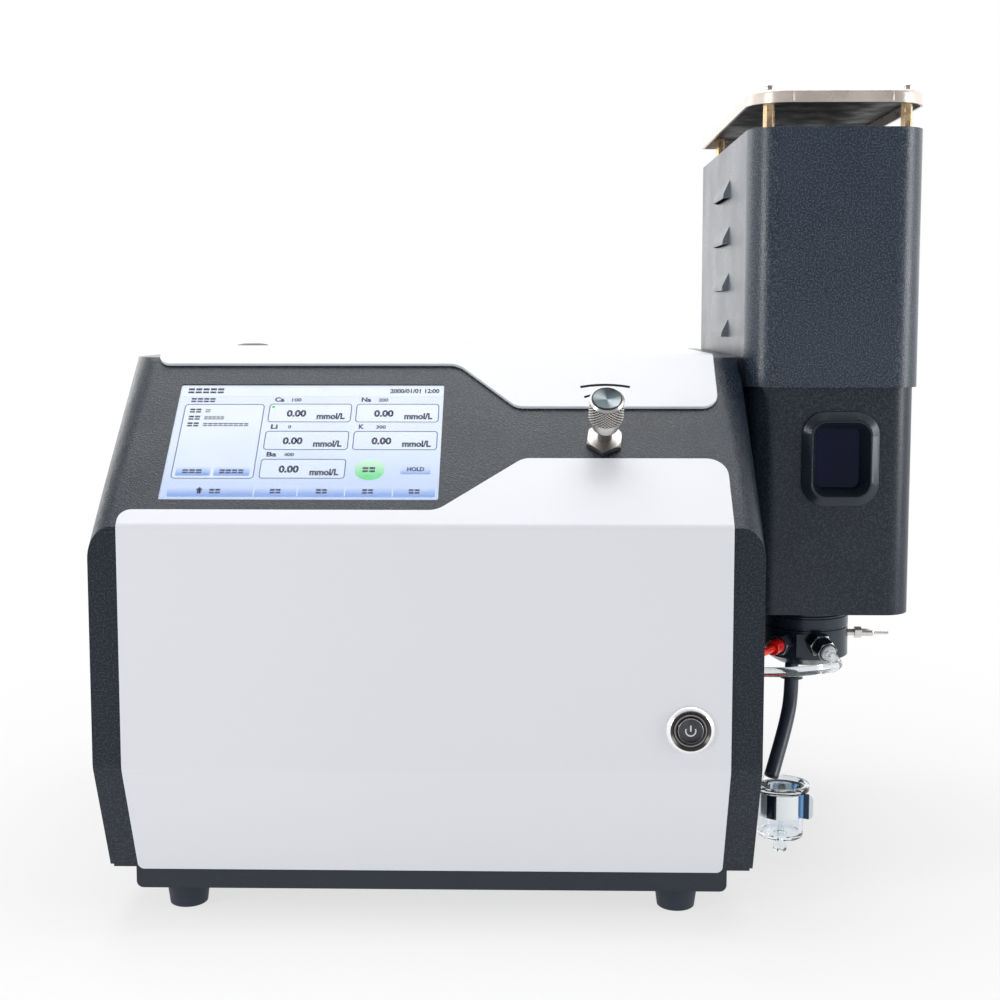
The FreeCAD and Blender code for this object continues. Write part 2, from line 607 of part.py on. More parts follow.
def power_supply():
    case = box(-190, -92, 50, 130, 19, 57)
    slots = [box(-180 + 9 * i, -176 + 9 * i, 60, 120, 54, 60) for i in range(9)]
    return cut(case, *slots)


def ignition_coil():
    block = box(62, 108, 40, 90, 19, 50)
    tower = turned([(0, 0), (9, 0), (7, 14), (3, 14), (3, 22), (0, 22)])
    return fuse(block, placed(tower, (85, 65, 50)))


def gas_solenoid():
    base = box(62, 92, -70, -42, 19, 40)
    coil = rod(12, (77, -56, 40), (0, 0, 1), 30)
    cap = rod(8, (77, -56, 70), (0, 0, 1), 4)
    ports = [rod(3.5, (x, -56, 30), (side, 0, 0), 12) for x, side in ((62, -1), (92, 1))]
    return fuse(base, coil, cap, *ports)


DETECTOR_LEFT, DETECTOR_RIGHT = 18.0, 62.0
CHANNELS = [(15 * math.cos(math.radians(90 + 72 * i)), 15 * math.sin(math.radians(90 + 72 * i)))
            for i in range(5)]


def on_light_axis(radius, x0, x1, dy=0.0, dz=0.0):
    return rod(radius, (x0, BURNER_Y + dy, FLAME_Z + dz), (1, 0, 0), x1 - x0)


def detector_block():
    block = box(DETECTOR_LEFT, DETECTOR_RIGHT, BURNER_Y - 28, BURNER_Y + 28, FLAME_Z - 26, FLAME_Z + 26)
    collector = on_light_axis(21, DETECTOR_LEFT + 26, DETECTOR_RIGHT + 1)
    channels = [on_light_axis(5, DETECTOR_LEFT - 1, DETECTOR_LEFT + 30, dy, dz) for dy, dz in CHANNELS]
    return cut(block, collector, *channels)


def optical_filters():
    return group(*[on_light_axis(5, DETECTOR_LEFT + 20, DETECTOR_LEFT + 22, dy, dz)
                   for dy, dz in CHANNELS])


def photodiodes():
    def diode(dy, dz):
        can = on_light_axis(4.6, DETECTOR_LEFT - 1, DETECTOR_LEFT + 5, dy, dz)
        flange = on_light_axis(5, DETECTOR_LEFT + 4, DETECTOR_LEFT + 5, dy, dz)
        legs = [rod(0.4, (DETECTOR_LEFT - 9, BURNER_Y + dy + s, FLAME_Z + dz), (1, 0, 0), 9)
                for s in (-1.5, 1.5)]
        return fuse(can, flange, *legs)
    return group(*[diode(dy, dz) for dy, dz in CHANNELS])


def focus_lens():
    profile = [(0, 0), (6, 0.5), (9, 1.2), (12, 2.2), (12, 4.8), (9, 5.8), (6, 6.5), (0, 7)]
    return placed(turned(profile), (DETECTOR_RIGHT + 8, BURNER_Y, FLAME_Z), (1, 0, 0))


def light_tube():
    tube = on_light_axis(14, DETECTOR_RIGHT, 139)
    flange = on_light_axis(24, DETECTOR_RIGHT, DETECTOR_RIGHT + 4)
    return cut(fuse(tube, flange), on_light_axis(12, DETECTOR_RIGHT - 1, 140))


# ---------------------------------------------------------------- rear services
def power_inlet():
    """Mains inlet with a fuse-drawer slot above the plug recess."""
    flange = facing_front(rectangle(INLET_X - 20, INLET_X + 20, INLET_Z - 28, INLET_Z + 28, 5), REAR_Y - 1, 3)
    body = box(INLET_X - 13.5, INLET_X + 13.5, REAR_Y - 30, REAR_Y, INLET_Z - 23.5, INLET_Z + 23.5)
    recess = facing_front([
        (INLET_X - 12, INLET_Z - 18, 1.5), (INLET_X + 12, INLET_Z - 18, 1.5),
        (INLET_X + 12, INLET_Z - 5, 1), (INLET_X + 8, INLET_Z - 1.5, 1),
        (INLET_X - 8, INLET_Z - 1.5, 1), (INLET_X - 12, INLET_Z - 5, 1)], REAR_Y - 14, 20)
    slot = box(INLET_X - 11, INLET_X + 11, REAR_Y - 26, REAR_Y + 5, INLET_Z + 6, INLET_Z + 17)
    return cut(fuse(flange, body), recess, slot)


def inlet_pins():
    places = ((-7, -13), (7, -13), (0, -6.5))
    return group(*[box(INLET_X + x - 1, INLET_X + x + 1, REAR_Y - 14, REAR_Y - 1,
                       INLET_Z + z - 2, INLET_Z + z + 2) for x, z in places])


def fuse_drawer():
    drawer = box(INLET_X - 10.7, INLET_X + 10.7, REAR_Y - 24, REAR_Y + 2.6, INLET_Z + 6.3, INLET_Z + 16.7)
    trough = box(INLET_X - 8, INLET_X + 8, REAR_Y - 22, REAR_Y - 4, INLET_Z + 9, INLET_Z + 18)
    grip = box(INLET_X - 5, INLET_X + 5, REAR_Y + 1.4, REAR_Y + 4, INLET_Z + 8.5, INLET_Z + 10)
    return drawer.cut(trough).cut(grip)


def fuel_inlet():
    """Bulkhead spigot for the gas hose."""
    spigot = turned([(0, -18), (6, -18), (6, -1), (4, -1), (4, 27), (3.4, 28), (0, 28)])
    bore = rod(2, (0, 0, -20), (0, 0, 1), 60)
    collar = placed(hexagon(17, 6), (0, 0, -1))
    return placed(fuse(spigot, collar).cut(bore), (FUEL_INLET_X, REAR_Y, FUEL_INLET_Z), (0, 1, 0))


def regulator_body():
    """Filter-regulator block, screwed flat to the rear panel through its mounting boss."""
    cx, cy = REGULATOR_X, REGULATOR_Y
    block = box(cx - 19, cx + 19, cy - 19, cy + 19, 264, 298)
    uprights = [e for e in block.Edges if e.BoundBox.ZLength > 30]
    block = block.makeFillet(5, uprights)
    bonnet = rod(15, (cx, cy, 298), (0, 0, 1), 3)
    stem = rod(11, (cx, cy, 301), (0, 0, 1), 10)
    collar = rod(17.5, (cx, cy, 258), (0, 0, 1), 6)
    boss = box(cx - 2, cx + 20, REAR_Y - 1, cy - 18, 270, 292)
    outlet = rod(5, (cx + 9, REAR_Y - 16, 281), (0, 1, 0), 20)
    port = rod(8, (cx + 18, cy, 281), (1, 0, 0), 4)
    bowl_socket = rod(13, (cx, cy, 250), (0, 0, 1), 22)
    return cut(fuse(block, bonnet, stem, collar, boss, outlet, port), bowl_socket)


def regulator_bowl():
    bowl = turned([(0, 196), (4, 196), (4, 200), (11, 203), (15, 210), (16, 222), (16, 258),
                   (13, 258), (13, 266), (11.5, 266), (11.5, 222), (10, 212), (0, 206)])
    return placed(bowl, (REGULATOR_X, REGULATOR_Y, 0))


def regulator_knob():
    flutes = 24
    points = []
    for i in range(2 * flutes):
        radius = 14.2 if i % 2 == 0 else 13.5
        angle = math.pi * i / flutes
        points.append(V(radius * math.cos(angle), radius * math.sin(angle), 303))
    grip = Part.Face(Part.makePolygon(points + [points[0]])).extrude(Z * 18)
    crown = turned([(0, 320), (13.4, 320), (13.4, 322), (11.5, 324.4), (7, 325.3), (0, 325.3)])
    hollow = rod(11.08, (0, 0, 300), (0, 0, 1), 13)
    return placed(fuse(grip, crown).cut(hollow), (REGULATOR_X, REGULATOR_Y, 0))


def air_inlet():
    """Compressed-air spigot in the regulator's side port."""
    spigot = turned([(0, 0), (3, 0), (3, 25), (2.5, 26), (0, 26)])
    collar = hexagon(13, 6)
    fitting = fuse(spigot, collar).cut(rod(1.6, (0, 0, -1), (0, 0, 1), 40))
    return placed(fitting, (REGULATOR_X + 22, REGULATOR_Y, 281), (1, 0, 0))


# ---------------------------------------------------------------- burner tower
def tower_outline(inset, front_radius, rear_radius):
    """Plan of the tower as seen from above, moved inwards by inset."""
    x0, x1 = TOWER_LEFT + inset, TOWER_RIGHT - inset
    y0, y1 = TOWER_FRONT + inset, TOWER_REAR - inset
    return [(x0, y0, front_radius), (x1, y0, front_radius), (x1, y1, rear_radius), (x0, y1, rear_radius)]


def tower_prism(inset, front_radius, rear_radius, z0, z1):
    prism = slab(tower_outline(inset, front_radius, rear_radius), z1 - z0)
    prism.translate(V(0, 0, z0))
    return prism


HOUSING_SHEET = 2.0
HOUSING_TOP = SLEEVE_TOP - SLEEVE_SHEET - 0.1
HOUSING_FRONT = TOWER_FRONT + HOUSING_GAP


def tower_bracket():
    """Spacer plate that carries the burner housing on the console's side."""
    plate = box(BODY_RIGHT, TOWER_LEFT + HOUSING_GAP, BURNER_Y - 60, BURNER_Y + 110, 186, 298)
    light = on_light_axis(14.05, BODY_RIGHT - 1, TOWER_LEFT + 5)
    return plate.cut(light)


def burner_housing():
    gap, sheet = HOUSING_GAP, HOUSING_SHEET
    outer = tower_prism(gap, 17, 3, HOUSING_BOTTOM, HOUSING_TOP)
    inner = tower_prism(gap + sheet, 15, 1, HOUSING_BOTTOM + sheet, HOUSING_TOP + 5)
    window = facing_front(rectangle(WINDOW_X - 20, WINDOW_X + 20, WINDOW_Z - 25, WINDOW_Z + 25, 11),
                          HOUSING_FRONT - 5, 12)
    burner_hole = rod(16.2, (BURNER_X, BURNER_Y, HOUSING_BOTTOM - 5), (0, 0, 1), 12)
    light = on_light_axis(14.05, TOWER_LEFT, TOWER_LEFT + 10)
    rear_vents = [box(x, x + 70, TOWER_REAR - 10, TOWER_REAR + 5, z, z + 4)
                  for x in (149,) for z in range(190, 290, 14)]
    return cut(outer, inner, window, burner_hole, light, *rear_vents)


def window_bezel():
    """Raised bevelled frame of the flame window."""
    def frame(width, height, radius, y):
        flat = outline(rectangle(WINDOW_X - width / 2, WINDOW_X + width / 2,
                                 WINDOW_Z - height / 2, WINDOW_Z + height / 2, radius))
        flat.Placement = FreeCAD.Placement(V(0, y, 0), FreeCAD.Rotation(X, 90))
        return flat
    face, ridge = HOUSING_FRONT, HOUSING_FRONT - 5.5
    rim = facing_front(rectangle(WINDOW_X - 23.1, WINDOW_X + 23.1,
                                 WINDOW_Z - 28.3, WINDOW_Z + 28.3, 14), face - 2, 2)
    bevel = Part.makeLoft([frame(46.2, 56.6, 14, face - 2), frame(36, 46.4, 9.5, ridge)], True, True)
    neck = facing_front(rectangle(WINDOW_X - 19.8, WINDOW_X + 19.8,
                                  WINDOW_Z - 24.8, WINDOW_Z + 24.8, 10.8), face, 9)
    funnel = Part.makeLoft([frame(34.4, 44.8, 8.7, ridge - 0.01), frame(26, 36, 4, face + 4)], True, True)
    throat = facing_front(rectangle(WINDOW_X - 13, WINDOW_X + 13, WINDOW_Z - 18, WINDOW_Z + 18, 4),
                          face - 8, 30)
    seat = facing_front(rectangle(WINDOW_X - 15.5, WINDOW_X + 15.5, WINDOW_Z - 20.5, WINDOW_Z + 20.5, 5),
                        face + 6, 5)
    return cut(fuse(rim, bevel, neck), funnel, throat, seat)


def window_glass():
    return facing_front(rectangle(WINDOW_X - 15.4, WINDOW_X + 15.4, WINDOW_Z - 20.4, WINDOW_Z + 20.4, 5),
                        HOUSING_FRONT + 6, 3)


def louvre(top, shrink):
    """A pressed scoop on the plane x = 0, standing out to -X, widest at its lower edge."""
    low = top - LOUVRE_HEIGHT
    depth = LOUVRE_DEPTH - shrink
    wedge = slab([(0, top - shrink * 1.5, 0), (0, low, 0), (-depth, low, 0), (-depth * 0.9, low + 3, 2)],
                 LOUVRE_REAR - LOUVRE_FRONT)
    wedge.Placement = FreeCAD.Placement(V(0, LOUVRE_REAR, 0), FreeCAD.Rotation(X, 90))
    taper = slab([(0, LOUVRE_FRONT + shrink, 0), (-depth - 0.2, LOUVRE_FRONT + 5 + shrink, 4),
                  (-depth - 0.2, LOUVRE_REAR - 9 - shrink, 6), (0, LOUVRE_REAR - shrink, 0)], 30)
    taper.translate(V(0, 0, top - 20))
    return wedge.common(taper)


def louvre_pair(top, shrink, depth_in):
    """The same scoop on both side walls; depth_in carries it through the sheet."""
    scoop = louvre(top, shrink)
    root = box(-0.01, depth_in, LOUVRE_FRONT + 1 + shrink, LOUVRE_REAR - 1 - shrink,
               top - LOUVRE_HEIGHT, top - 2.5 - shrink)
    left = fuse(scoop, root)
    right = left.mirror(V(0, 0, 0), X)
    left.translate(V(TOWER_LEFT, 0, 0))
    right.translate(V(TOWER_RIGHT, 0, 0))
    return left, right


def chimney_sleeve():
    """Lift-off upper chimney cover; its top lip rests on the burner housing's rim."""
    outer = tower_prism(0, SLEEVE_RADIUS, 4, SLEEVE_BOTTOM, SLEEVE_TOP)
    inner = tower_prism(SLEEVE_SHEET, SLEEVE_RADIUS - SLEEVE_SHEET, 2.4, SLEEVE_BOTTOM - 5,
                        SLEEVE_TOP - SLEEVE_SHEET)
    mouth = tower_prism(9, 12, 2, SLEEVE_TOP - 10, SLEEVE_TOP + 5)
    sleeve = cut(outer, inner, mouth)
    tabs = [box(x - 9, x + 9, y - 9, y + 9, SLEEVE_TOP - SLEEVE_SHEET, SLEEVE_TOP)
            for x, y in standoff_places()]
    sleeve = fuse(sleeve, *[tab.common(outer) for tab in tabs])
    for top in LOUVRE_TOPS:
        sleeve = fuse(sleeve, *louvre_pair(top, 0, 0.5))
        sleeve = cut(sleeve, *louvre_pair(top, 1.0, SLEEVE_SHEET + 1))
    screw_holes = [rod(1.5, (x, y, SLEEVE_TOP - 5), (0, 0, 1), 10) for x, y in standoff_places()]
    return cut(sleeve, *screw_holes)


def standoff_places():
    """(x, y) of the four pillars between the chimney and the heat shield."""
    return [(x, y) for x in (TOWER_LEFT + 11.7, TOWER_RIGHT - 11.5)
            for y in (TOWER_FRONT + 10.5, TOWER_REAR - 12)]


def heat_shield():
    """Shallow steel tray, rim down, over the chimney's mouth."""
    grow = 0.6
    outer = tower_prism(-grow, 24, 2.5, SHIELD_BOTTOM, SHIELD_TOP)
    inner = tower_prism(-grow + 1.5, 22.5, 1, SHIELD_BOTTOM - 1, SHIELD_TOP - 1.5)
    holes = [rod(1.7, (x, y, SHIELD_TOP - 5), (0, 0, 1), 10) for x, y in standoff_places()]
    top_edges = [e for e in outer.Edges if e.BoundBox.ZMin > SHIELD_TOP - 0.01]
    return cut(outer.makeFillet(2.4, top_edges), inner, *holes)


def shield_standoffs():
    reach = 6 / math.sqrt(3)
    corners = [(reach * math.cos(math.radians(60 * i)), reach * math.sin(math.radians(60 * i)), 0)
               for i in range(6)]
    pillar = slab(corners, SHIELD_TOP - 1.5 - SLEEVE_TOP)
    pillar = fuse(pillar, rod(1.5, (0, 0, -SLEEVE_SHEET), (0, 0, 1), 4))
    pillar = pillar.cut(rod(1.5, (0, 0, 8), (0, 0, 1), 20))
    return group(*[placed(pillar, (x, y, SLEEVE_TOP)) for x, y in standoff_places()])


def shield_screws():
    screw = turned([(0, -8), (1.5, -8), (1.5, 0), (3.4, 0), (3.4, 0.6), (3.1, 0.6), (3.1, 2.6),
                    (2.4, 3.7), (1.2, 4.1), (0, 4.1)])
    screw = cut(screw, box(-0.4, 0.4, -1.8, 1.8, 2.6, 5), box(-1.8, 1.8, -0.4, 0.4, 2.6, 5))
    return group(*[placed(screw, (x, y, SHIELD_TOP)) for x, y in standoff_places()])


# ---------------------------------------------------------------- burner and its plumbing
def at_burner(shape, z=0.0):
    return placed(shape, (BURNER_X, BURNER_Y, z))


def fitting_seat(route, length):
    """Root point and direction of a fitting whose outer end meets the start of a hose."""
    direction = (V(*route[1]) - V(*route[0])).normalize()
    return V(*route[0]) - direction * length, direction


FUEL_LENGTH, AIR_LENGTH = 25.0, 18.2
FUEL_ROOT, FUEL_DIRECTION = fitting_seat(FUEL_ROUTE, FUEL_LENGTH)
AIR_ROOT, AIR_DIRECTION = fitting_seat(AIR_ROUTE, AIR_LENGTH)


def mixing_chamber():
    """Black spray chamber with grooved rings, a chamfered foot and a flat for the fittings."""
    r, low, top = CHAMBER_RADIUS, CHAMBER_BOTTOM, CHAMBER_TOP
    body = at_burner(turned([
        (0, low), (19, low), (r, low + 5.3), (r, 143.9), (r - 0.9, 144.3), (r - 0.9, 145),
        (r, 145.4), (r, 151.6), (r - 0.9, 152), (r - 0.9, 153), (r - 2, 153.6), (r - 2, top),
        (22, top), (22, HOUSING_BOTTOM), (0, HOUSING_BOTTOM)]))
    hollow = at_burner(turned([
        (0, low + 4), (18, low + 6), (20, 134), (20, 148), (8, 160), (8, 170), (0, 170)]))
    flat = box(BURNER_X - 10.6, BURNER_X - 2.4, BURNER_Y - CHAMBER_RADIUS - 0.6, BURNER_Y - 25,
               127.5, 142.5)
    drain_hole = rod(2.9, (DRAIN_ROUTE[0][0], DRAIN_ROUTE[0][1], low - 5), (0, 0, 1), 12)
    sample_hole = rod(2.2, (BURNER_X + 10, BURNER_Y, NEBULIZER_Z), (1, 0, 0), 30)
    ports = []
    for root, direction, bore, seat in ((FUEL_ROOT, FUEL_DIRECTION, 3.5, 5.7),
                                        (AIR_ROOT, AIR_DIRECTION, 4.0, 8.0)):
        ports.append(rod(bore, root - direction * 8, direction, 12))
        ports.append(rod(seat, root + direction * 2, direction, 12))
    return cut(fuse(body, flat), hollow, drain_hole, sample_hole, *ports)


def burner_head():
    """Stainless burner: flanged stem, wide head and a perforated flame plate."""
    stem = turned([(6, HOUSING_BOTTOM), (16, HOUSING_BOTTOM), (16, HOUSING_BOTTOM + 6),
                   (11, HOUSING_BOTTOM + 8), (11, 210), (14, 214), (14, 240), (12.5, 241.5),
                   (11, 241.5), (11, 238), (6, 238)])
    plate = turned([(0, 236), (11, 236), (11, 239), (0, 239)])
    jets = [rod(0.8, (5.5 * math.cos(a), 5.5 * math.sin(a), 230), (0, 0, 1), 15)
            for a in (2 * math.pi * i / 8 for i in range(8))]
    return at_burner(cut(fuse(stem, plate), *jets, rod(0.8, (0, 0, 230), (0, 0, 1), 15)))


def flame_chimney():
    """Steel draught tube round the flame, open towards the window and the light tube."""
    tube = pipe(26, 24.8, (0, 0, 228), (0, 0, 1), 92)
    ring = pipe(26, 14, (0, 0, 226.5), (0, 0, 1), 2)
    front_window = box(-14, 14, -40, 0, 240, 286)
    side_window = rod(13, (0, 0, FLAME_Z), (-1, 0, 0), 40)
    igniter_hole = rod(2.8, (0, 19, 220), (0, 0, 1), 15)
    return at_burner(cut(fuse(tube, ring), front_window, side_window, igniter_hole))


def igniter_electrode():
    ceramic = rod(2.6, (0, 19, HOUSING_BOTTOM + 2), (0, 0, 1), 76)
    wire = rod(0.7, (0, 19, HOUSING_BOTTOM + 76), (0, 0, 1), 8)
    tip = rod(0.7, (0, 19, HOUSING_BOTTOM + 83.6), (0, -1, 0.1), 12)
    return at_burner(fuse(ceramic, wire, tip))


def nebulizer_body():
    """Steel nebulizer screwed into the chamber's right side."""
    thread = turned([(0, -16), (2.2, -16), (2.2, 4.9), (0, 4.9)])
    nut = placed(hexagon(6.6, 4.6), (0, 0, 4.8))
    barrel = turned([(0, 9), (2.55, 9), (2.55, 16.5), (2.1, 17.3), (0, 17.3)])
    bore = rod(1.0, (0, 0, -20), (0, 0, 1), 60)
    body = fuse(thread, nut, barrel).cut(bore)
    return placed(body, (BURNER_X + CHAMBER_RADIUS, BURNER_Y, NEBULIZER_Z), (1, 0, 0))


def nebulizer_capillary():
    tube = pipe(1.35, 0.35, (0, 0, 17.3), (0, 0, 1), 9.9)
    core = pipe(1.0, 0.35, (0, 0, -14), (0, 0, 1), 31.4)
    return placed(fuse(tube, core), (BURNER_X + CHAMBER_RADIUS, BURNER_Y, NEBULIZER_Z), (1, 0, 0))


def fuel_fitting():
    """Round boss, a hexagon and a red release collar for the fuel hose."""
    root = turned([(0, -3), (3.5, -3), (3.5, 2.2), (5.5, 2.2), (5.5, 10), (0, 10)])
    nut = placed(hexagon(12, 7), (0, 0, 9), turn=30)
    collar = turned([(0, 15), (4.75, 15), (4.75, FUEL_LENGTH - 0.8), (4.3, FUEL_LENGTH), (0, FUEL_LENGTH)])
    return placed(fuse(root, nut, collar), FUEL_ROOT, FUEL_DIRECTION)


def air_fitting():
    """Compression fitting for the clear air hose: lock hexagon, nut and hose face."""
    face = AIR_LENGTH - 2
    root = turned([(0, -3), (4, -3), (4, 2.2), (0, 2.2)])
    lock = placed(hexagon(13.5, 5.5), (0, 0, 2), turn=12)
    nut = placed(hexagon(12, face - 7), (0, 0, 7.2), turn=25)
    end = turned([(0, face), (4.9, face), (4.9, AIR_LENGTH - 0.5), (4.4, AIR_LENGTH), (0, AIR_LENGTH)])
    return placed(fuse(root, lock, nut, end), AIR_ROOT, AIR_DIRECTION)


def hose_grommets():
    """Rubber rings where the two hoses enter the console's side."""
    def grommet(route, diameter):
        x, y, z = route[-1]
        outside = rod(6.6, (BODY_RIGHT, y, z), (1, 0, 0), 1.6)
        neck = rod(5.5, (BODY_RIGHT - WALL, y, z), (1, 0, 0), WALL + 1)
        bore = rod(diameter / 2, (x - 1, y, z), (1, 0, 0), 10)
        return fuse(outside, neck).cut(bore)
    return group(grommet(AIR_ROUTE, AIR_DIAMETER), grommet(FUEL_ROUTE, FUEL_DIAMETER))


def drain_fitting():
    """Drain spigot under the chamber, with a stop flange square to the hose."""
    start = V(*DRAIN_ROUTE[0])
    back = (start - V(*DRAIN_ROUTE[1])).normalize()
    flange = placed(turned([(0, 0), (7.3, 0), (7.3, 1.5), (4.4, 2), (0, 2)]), start, back)
    spigot = rod(4.4, (start.x, start.y, start.z + 1), (0, 0, 1), CHAMBER_BOTTOM - start.z - 1)
    thread = rod(2.9, (start.x, start.y, CHAMBER_BOTTOM - 1), (0, 0, 1), 5)
    return fuse(flange, spigot, thread)


def drain_hose():
    return hose(DRAIN_ROUTE, DRAIN_DIAMETER)


def air_hose():
    return hose(AIR_ROUTE, AIR_DIAMETER)


def fuel_hose():
    return hose(FUEL_ROUTE, FUEL_DIAMETER)


def drain_cup():
    """Clear liquid-seal cup with a thick rim, an overflow standpipe and a waste spigot."""
    r, inside, low, top = CUP_RADIUS, CUP_RADIUS - CUP_WALL, CUP_BOTTOM, CUP_TOP
    rim = top - CUP_RIM
    cup = turned([
        (1.2, low - 10.2), (3.7, low - 10.2), (4.2, low - 9.6), (4.2, low), (r - 0.8, low),
        (r, low + 0.8), (r, rim), (17.6, rim), (17.9, rim + 0.4), (17.9, top - 0.5), (17.5, top),
        (15.2, top), (inside + 0.6, rim), (inside, rim - 2), (inside, low + 2.5), (2.3, low + 2.5),
        (2.3, low + 17), (1.2, low + 17)])
    return placed(cup, (CUP_X, CUP_Y, 0))


CLIP_SHEET, CLIP_MOUTH, CLIP_LIP = 0.8, 42.0, 8.4


def cup_clip():
    """Spring-steel clip: a flat back, two arms round the cup and two flared lips."""
    height = CLIP_TOP - CLIP_BOTTOM
    outer = CUP_RADIUS + CLIP_SHEET
    band = pipe(outer, CUP_RADIUS, (0, 0, CLIP_BOTTOM), (0, 0, 1), height)
    angle = math.radians(CLIP_MOUTH)
    gap = [V(0, 0, 0), V(60 * math.cos(angle), 60 * math.sin(angle), 0),
           V(60 * math.cos(angle), -60 * math.sin(angle), 0)]
    band = band.cut(Part.Face(Part.makePolygon(gap + [gap[0]])).extrude(Z * 90))
    back = box(-outer - 1, 0, -6, 6, CLIP_BOTTOM, CLIP_TOP)
    back = back.cut(rod(CUP_RADIUS, (0, 0, 0), (0, 0, 1), 90))
    reach = CUP_RADIUS + CLIP_SHEET / 2
    lips = []
    for side in (-1, 1):
        lip = slab([(0, 0, 0), (CLIP_LIP, 0, 3.5), (CLIP_LIP, height, 3.5), (0, height, 0)], CLIP_SHEET)
        lip.Placement = FreeCAD.Placement(V(-0.3, CLIP_SHEET / 2, 0), FreeCAD.Rotation(X, 90))
        start = V(reach * math.cos(angle), side * reach * math.sin(angle), CLIP_BOTTOM)
        turn = FreeCAD.Placement(start, FreeCAD.Rotation(Z, side * 24))
        lips.append(lip.transformGeometry(turn.toMatrix()))
    clip = fuse(band, back, *lips)
    clip.translate(V(CUP_X, CUP_Y, 0))
    return clip


def cup_bracket():
    """Folded strap that holds the clip off the console's side."""
    back = CUP_X - CUP_RADIUS - CLIP_SHEET - 1
    low, top = SHELL_BOTTOM + 0.5, CLIP_TOP - 1
    return fuse(box(BODY_RIGHT, BODY_RIGHT + 2, CUP_Y - 14, CUP_Y + 14, low, top),
                box(BODY_RIGHT, back, CUP_Y + 4, CUP_Y + 6, low, top),
                box(back - 2, back, CUP_Y - 6, CUP_Y + 6, low, top))


# ---------------------------------------------------------------- every piece, one file each
PIECES = [
    base_tray, rubber_feet, case_screws, outer_shell, front_panel, top_cover, rear_panel,
    touch_glass, lcd_module, lcd_bracket,
    button_bezel, button_cap, button_nut, switch_block,
    valve_body, valve_nut, needle_spindle, fine_knob, knob_set_screw,
    main_board, power_supply, ignition_coil, gas_solenoid,
    detector_block, optical_filters, photodiodes, focus_lens, light_tube,
    power_inlet, inlet_pins, fuse_drawer, fuel_inlet,
    regulator_body, regulator_bowl, regulator_knob, air_inlet,
    tower_bracket, burner_housing, window_bezel, window_glass,
    chimney_sleeve, heat_shield, shield_standoffs, shield_screws,
    mixing_chamber, burner_head, flame_chimney, igniter_electrode,
    nebulizer_body, nebulizer_capillary, fuel_fitting, air_fitting, hose_grommets,
    fuel_hose, air_hose, drain_fitting, drain_hose, drain_cup, cup_clip, cup_bracket,
]


def main():
    os.makedirs("parts", exist_ok=True)
    for piece in PIECES:
        shape = piece()
        bounds = shape.BoundBox
        print(f"{piece.__name__}: {len(shape.Solids)} solid(s), valid {shape.isValid()}, "
              f"{bounds.XLength:.1f} x {bounds.YLength:.1f} x {bounds.ZLength:.1f} mm")
        shape.exportStep(f"parts/{piece.__name__}.step")


main()
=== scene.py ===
"""Looks of the bench flame photometer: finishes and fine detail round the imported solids.

Lengths in the classes are millimetres, and metres in the hoses. +Z is up and the console's front
faces -Y.
"""

import logging
import math
from contextlib import contextmanager
from dataclasses import dataclass
from enum import Enum
from typing import Callable, Iterator, Optional, Sequence

import bmesh
import bpy
from mathutils import Matrix, Vector


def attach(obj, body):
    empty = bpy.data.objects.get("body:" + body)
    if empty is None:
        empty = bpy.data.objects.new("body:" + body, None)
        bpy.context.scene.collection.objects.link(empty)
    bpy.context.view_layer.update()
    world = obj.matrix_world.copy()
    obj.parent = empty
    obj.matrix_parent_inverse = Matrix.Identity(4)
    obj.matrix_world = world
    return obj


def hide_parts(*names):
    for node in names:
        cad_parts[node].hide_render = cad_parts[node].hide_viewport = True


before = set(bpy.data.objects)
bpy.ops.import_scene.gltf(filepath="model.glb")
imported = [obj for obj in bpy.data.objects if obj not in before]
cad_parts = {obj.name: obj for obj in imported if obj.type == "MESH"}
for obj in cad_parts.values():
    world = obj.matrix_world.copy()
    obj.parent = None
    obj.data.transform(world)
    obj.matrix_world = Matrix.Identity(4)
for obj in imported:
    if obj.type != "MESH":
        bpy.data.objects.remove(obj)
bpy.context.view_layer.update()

LOG = logging.getLogger("flame_photometer")
MM = 0.001
Rgb = tuple[float, float, float]
Rgba = tuple[float, float, float, float]
Point = tuple[float, float, float]
Span = tuple[float, float]
Box = tuple[float, float, float, float]
Socket = bpy.types.NodeSocket
FaceTest = Callable[[Vector, Vector], bool]

FRONT_Y, BEND_Z = -188.0, 232.5
SLOPE = math.radians(44.0)
SLOPE_RISE = (0.0, math.cos(SLOPE), math.sin(SLOPE))
KNOB_X, KNOB_UP = 43.9, 63.0
KNOB_MIDDLE = (KNOB_X, -142.681, 276.264)
BUTTON_MIDDLE = (89.5, -190.0, 121.3)

# Metres within which two points are one.
WELD = 0.000002

# Values of a noise between which the second colour takes over; the speck and fleck spans place painted glints
# on a coat's grain.
MOTTLE_SPAN, CLOUD_SPAN = (0.3, 0.7), (0.35, 0.65)
GLINT_SPECK_SPAN, GLINT_FLECK_SPAN = (0.5, 0.72), (0.47, 0.62)


class Body(Enum):
    """The bodies that pieces ride on."""

    CONSOLE = "console"
    CHIMNEY = "chimney"
    BUTTON = "power_button"
    TUNING_KNOB = "tuning_knob"
    PRESSURE_KNOB = "pressure_knob"
    FUSE = "fuse_carrier"


class Slot(Enum):
    """The record's material slots."""

    BLACK_COAT = "black_coat"
    WHITE_COAT = "white_coat"
    BLACK_ANODISED = "black_anodised"
    STAINLESS = "stainless"
    SCORCHED = "scorched_steel"
    CHROME = "chrome"
    NICKEL = "nickel"
    BRASS = "brass"
    RUBBER = "black_rubber"
    BLACK_PLASTIC = "black_plastic"
    GLOSS_BLACK = "gloss_black_plastic"
    RED_PLASTIC = "red_plastic"
    CLEAR_TUBE = "clear_tube"
    ACRYLIC = "clear_acrylic"
    COVER_GLASS = "cover_glass"
    COBALT_GLASS = "cobalt_glass"
    DISPLAY = "display"


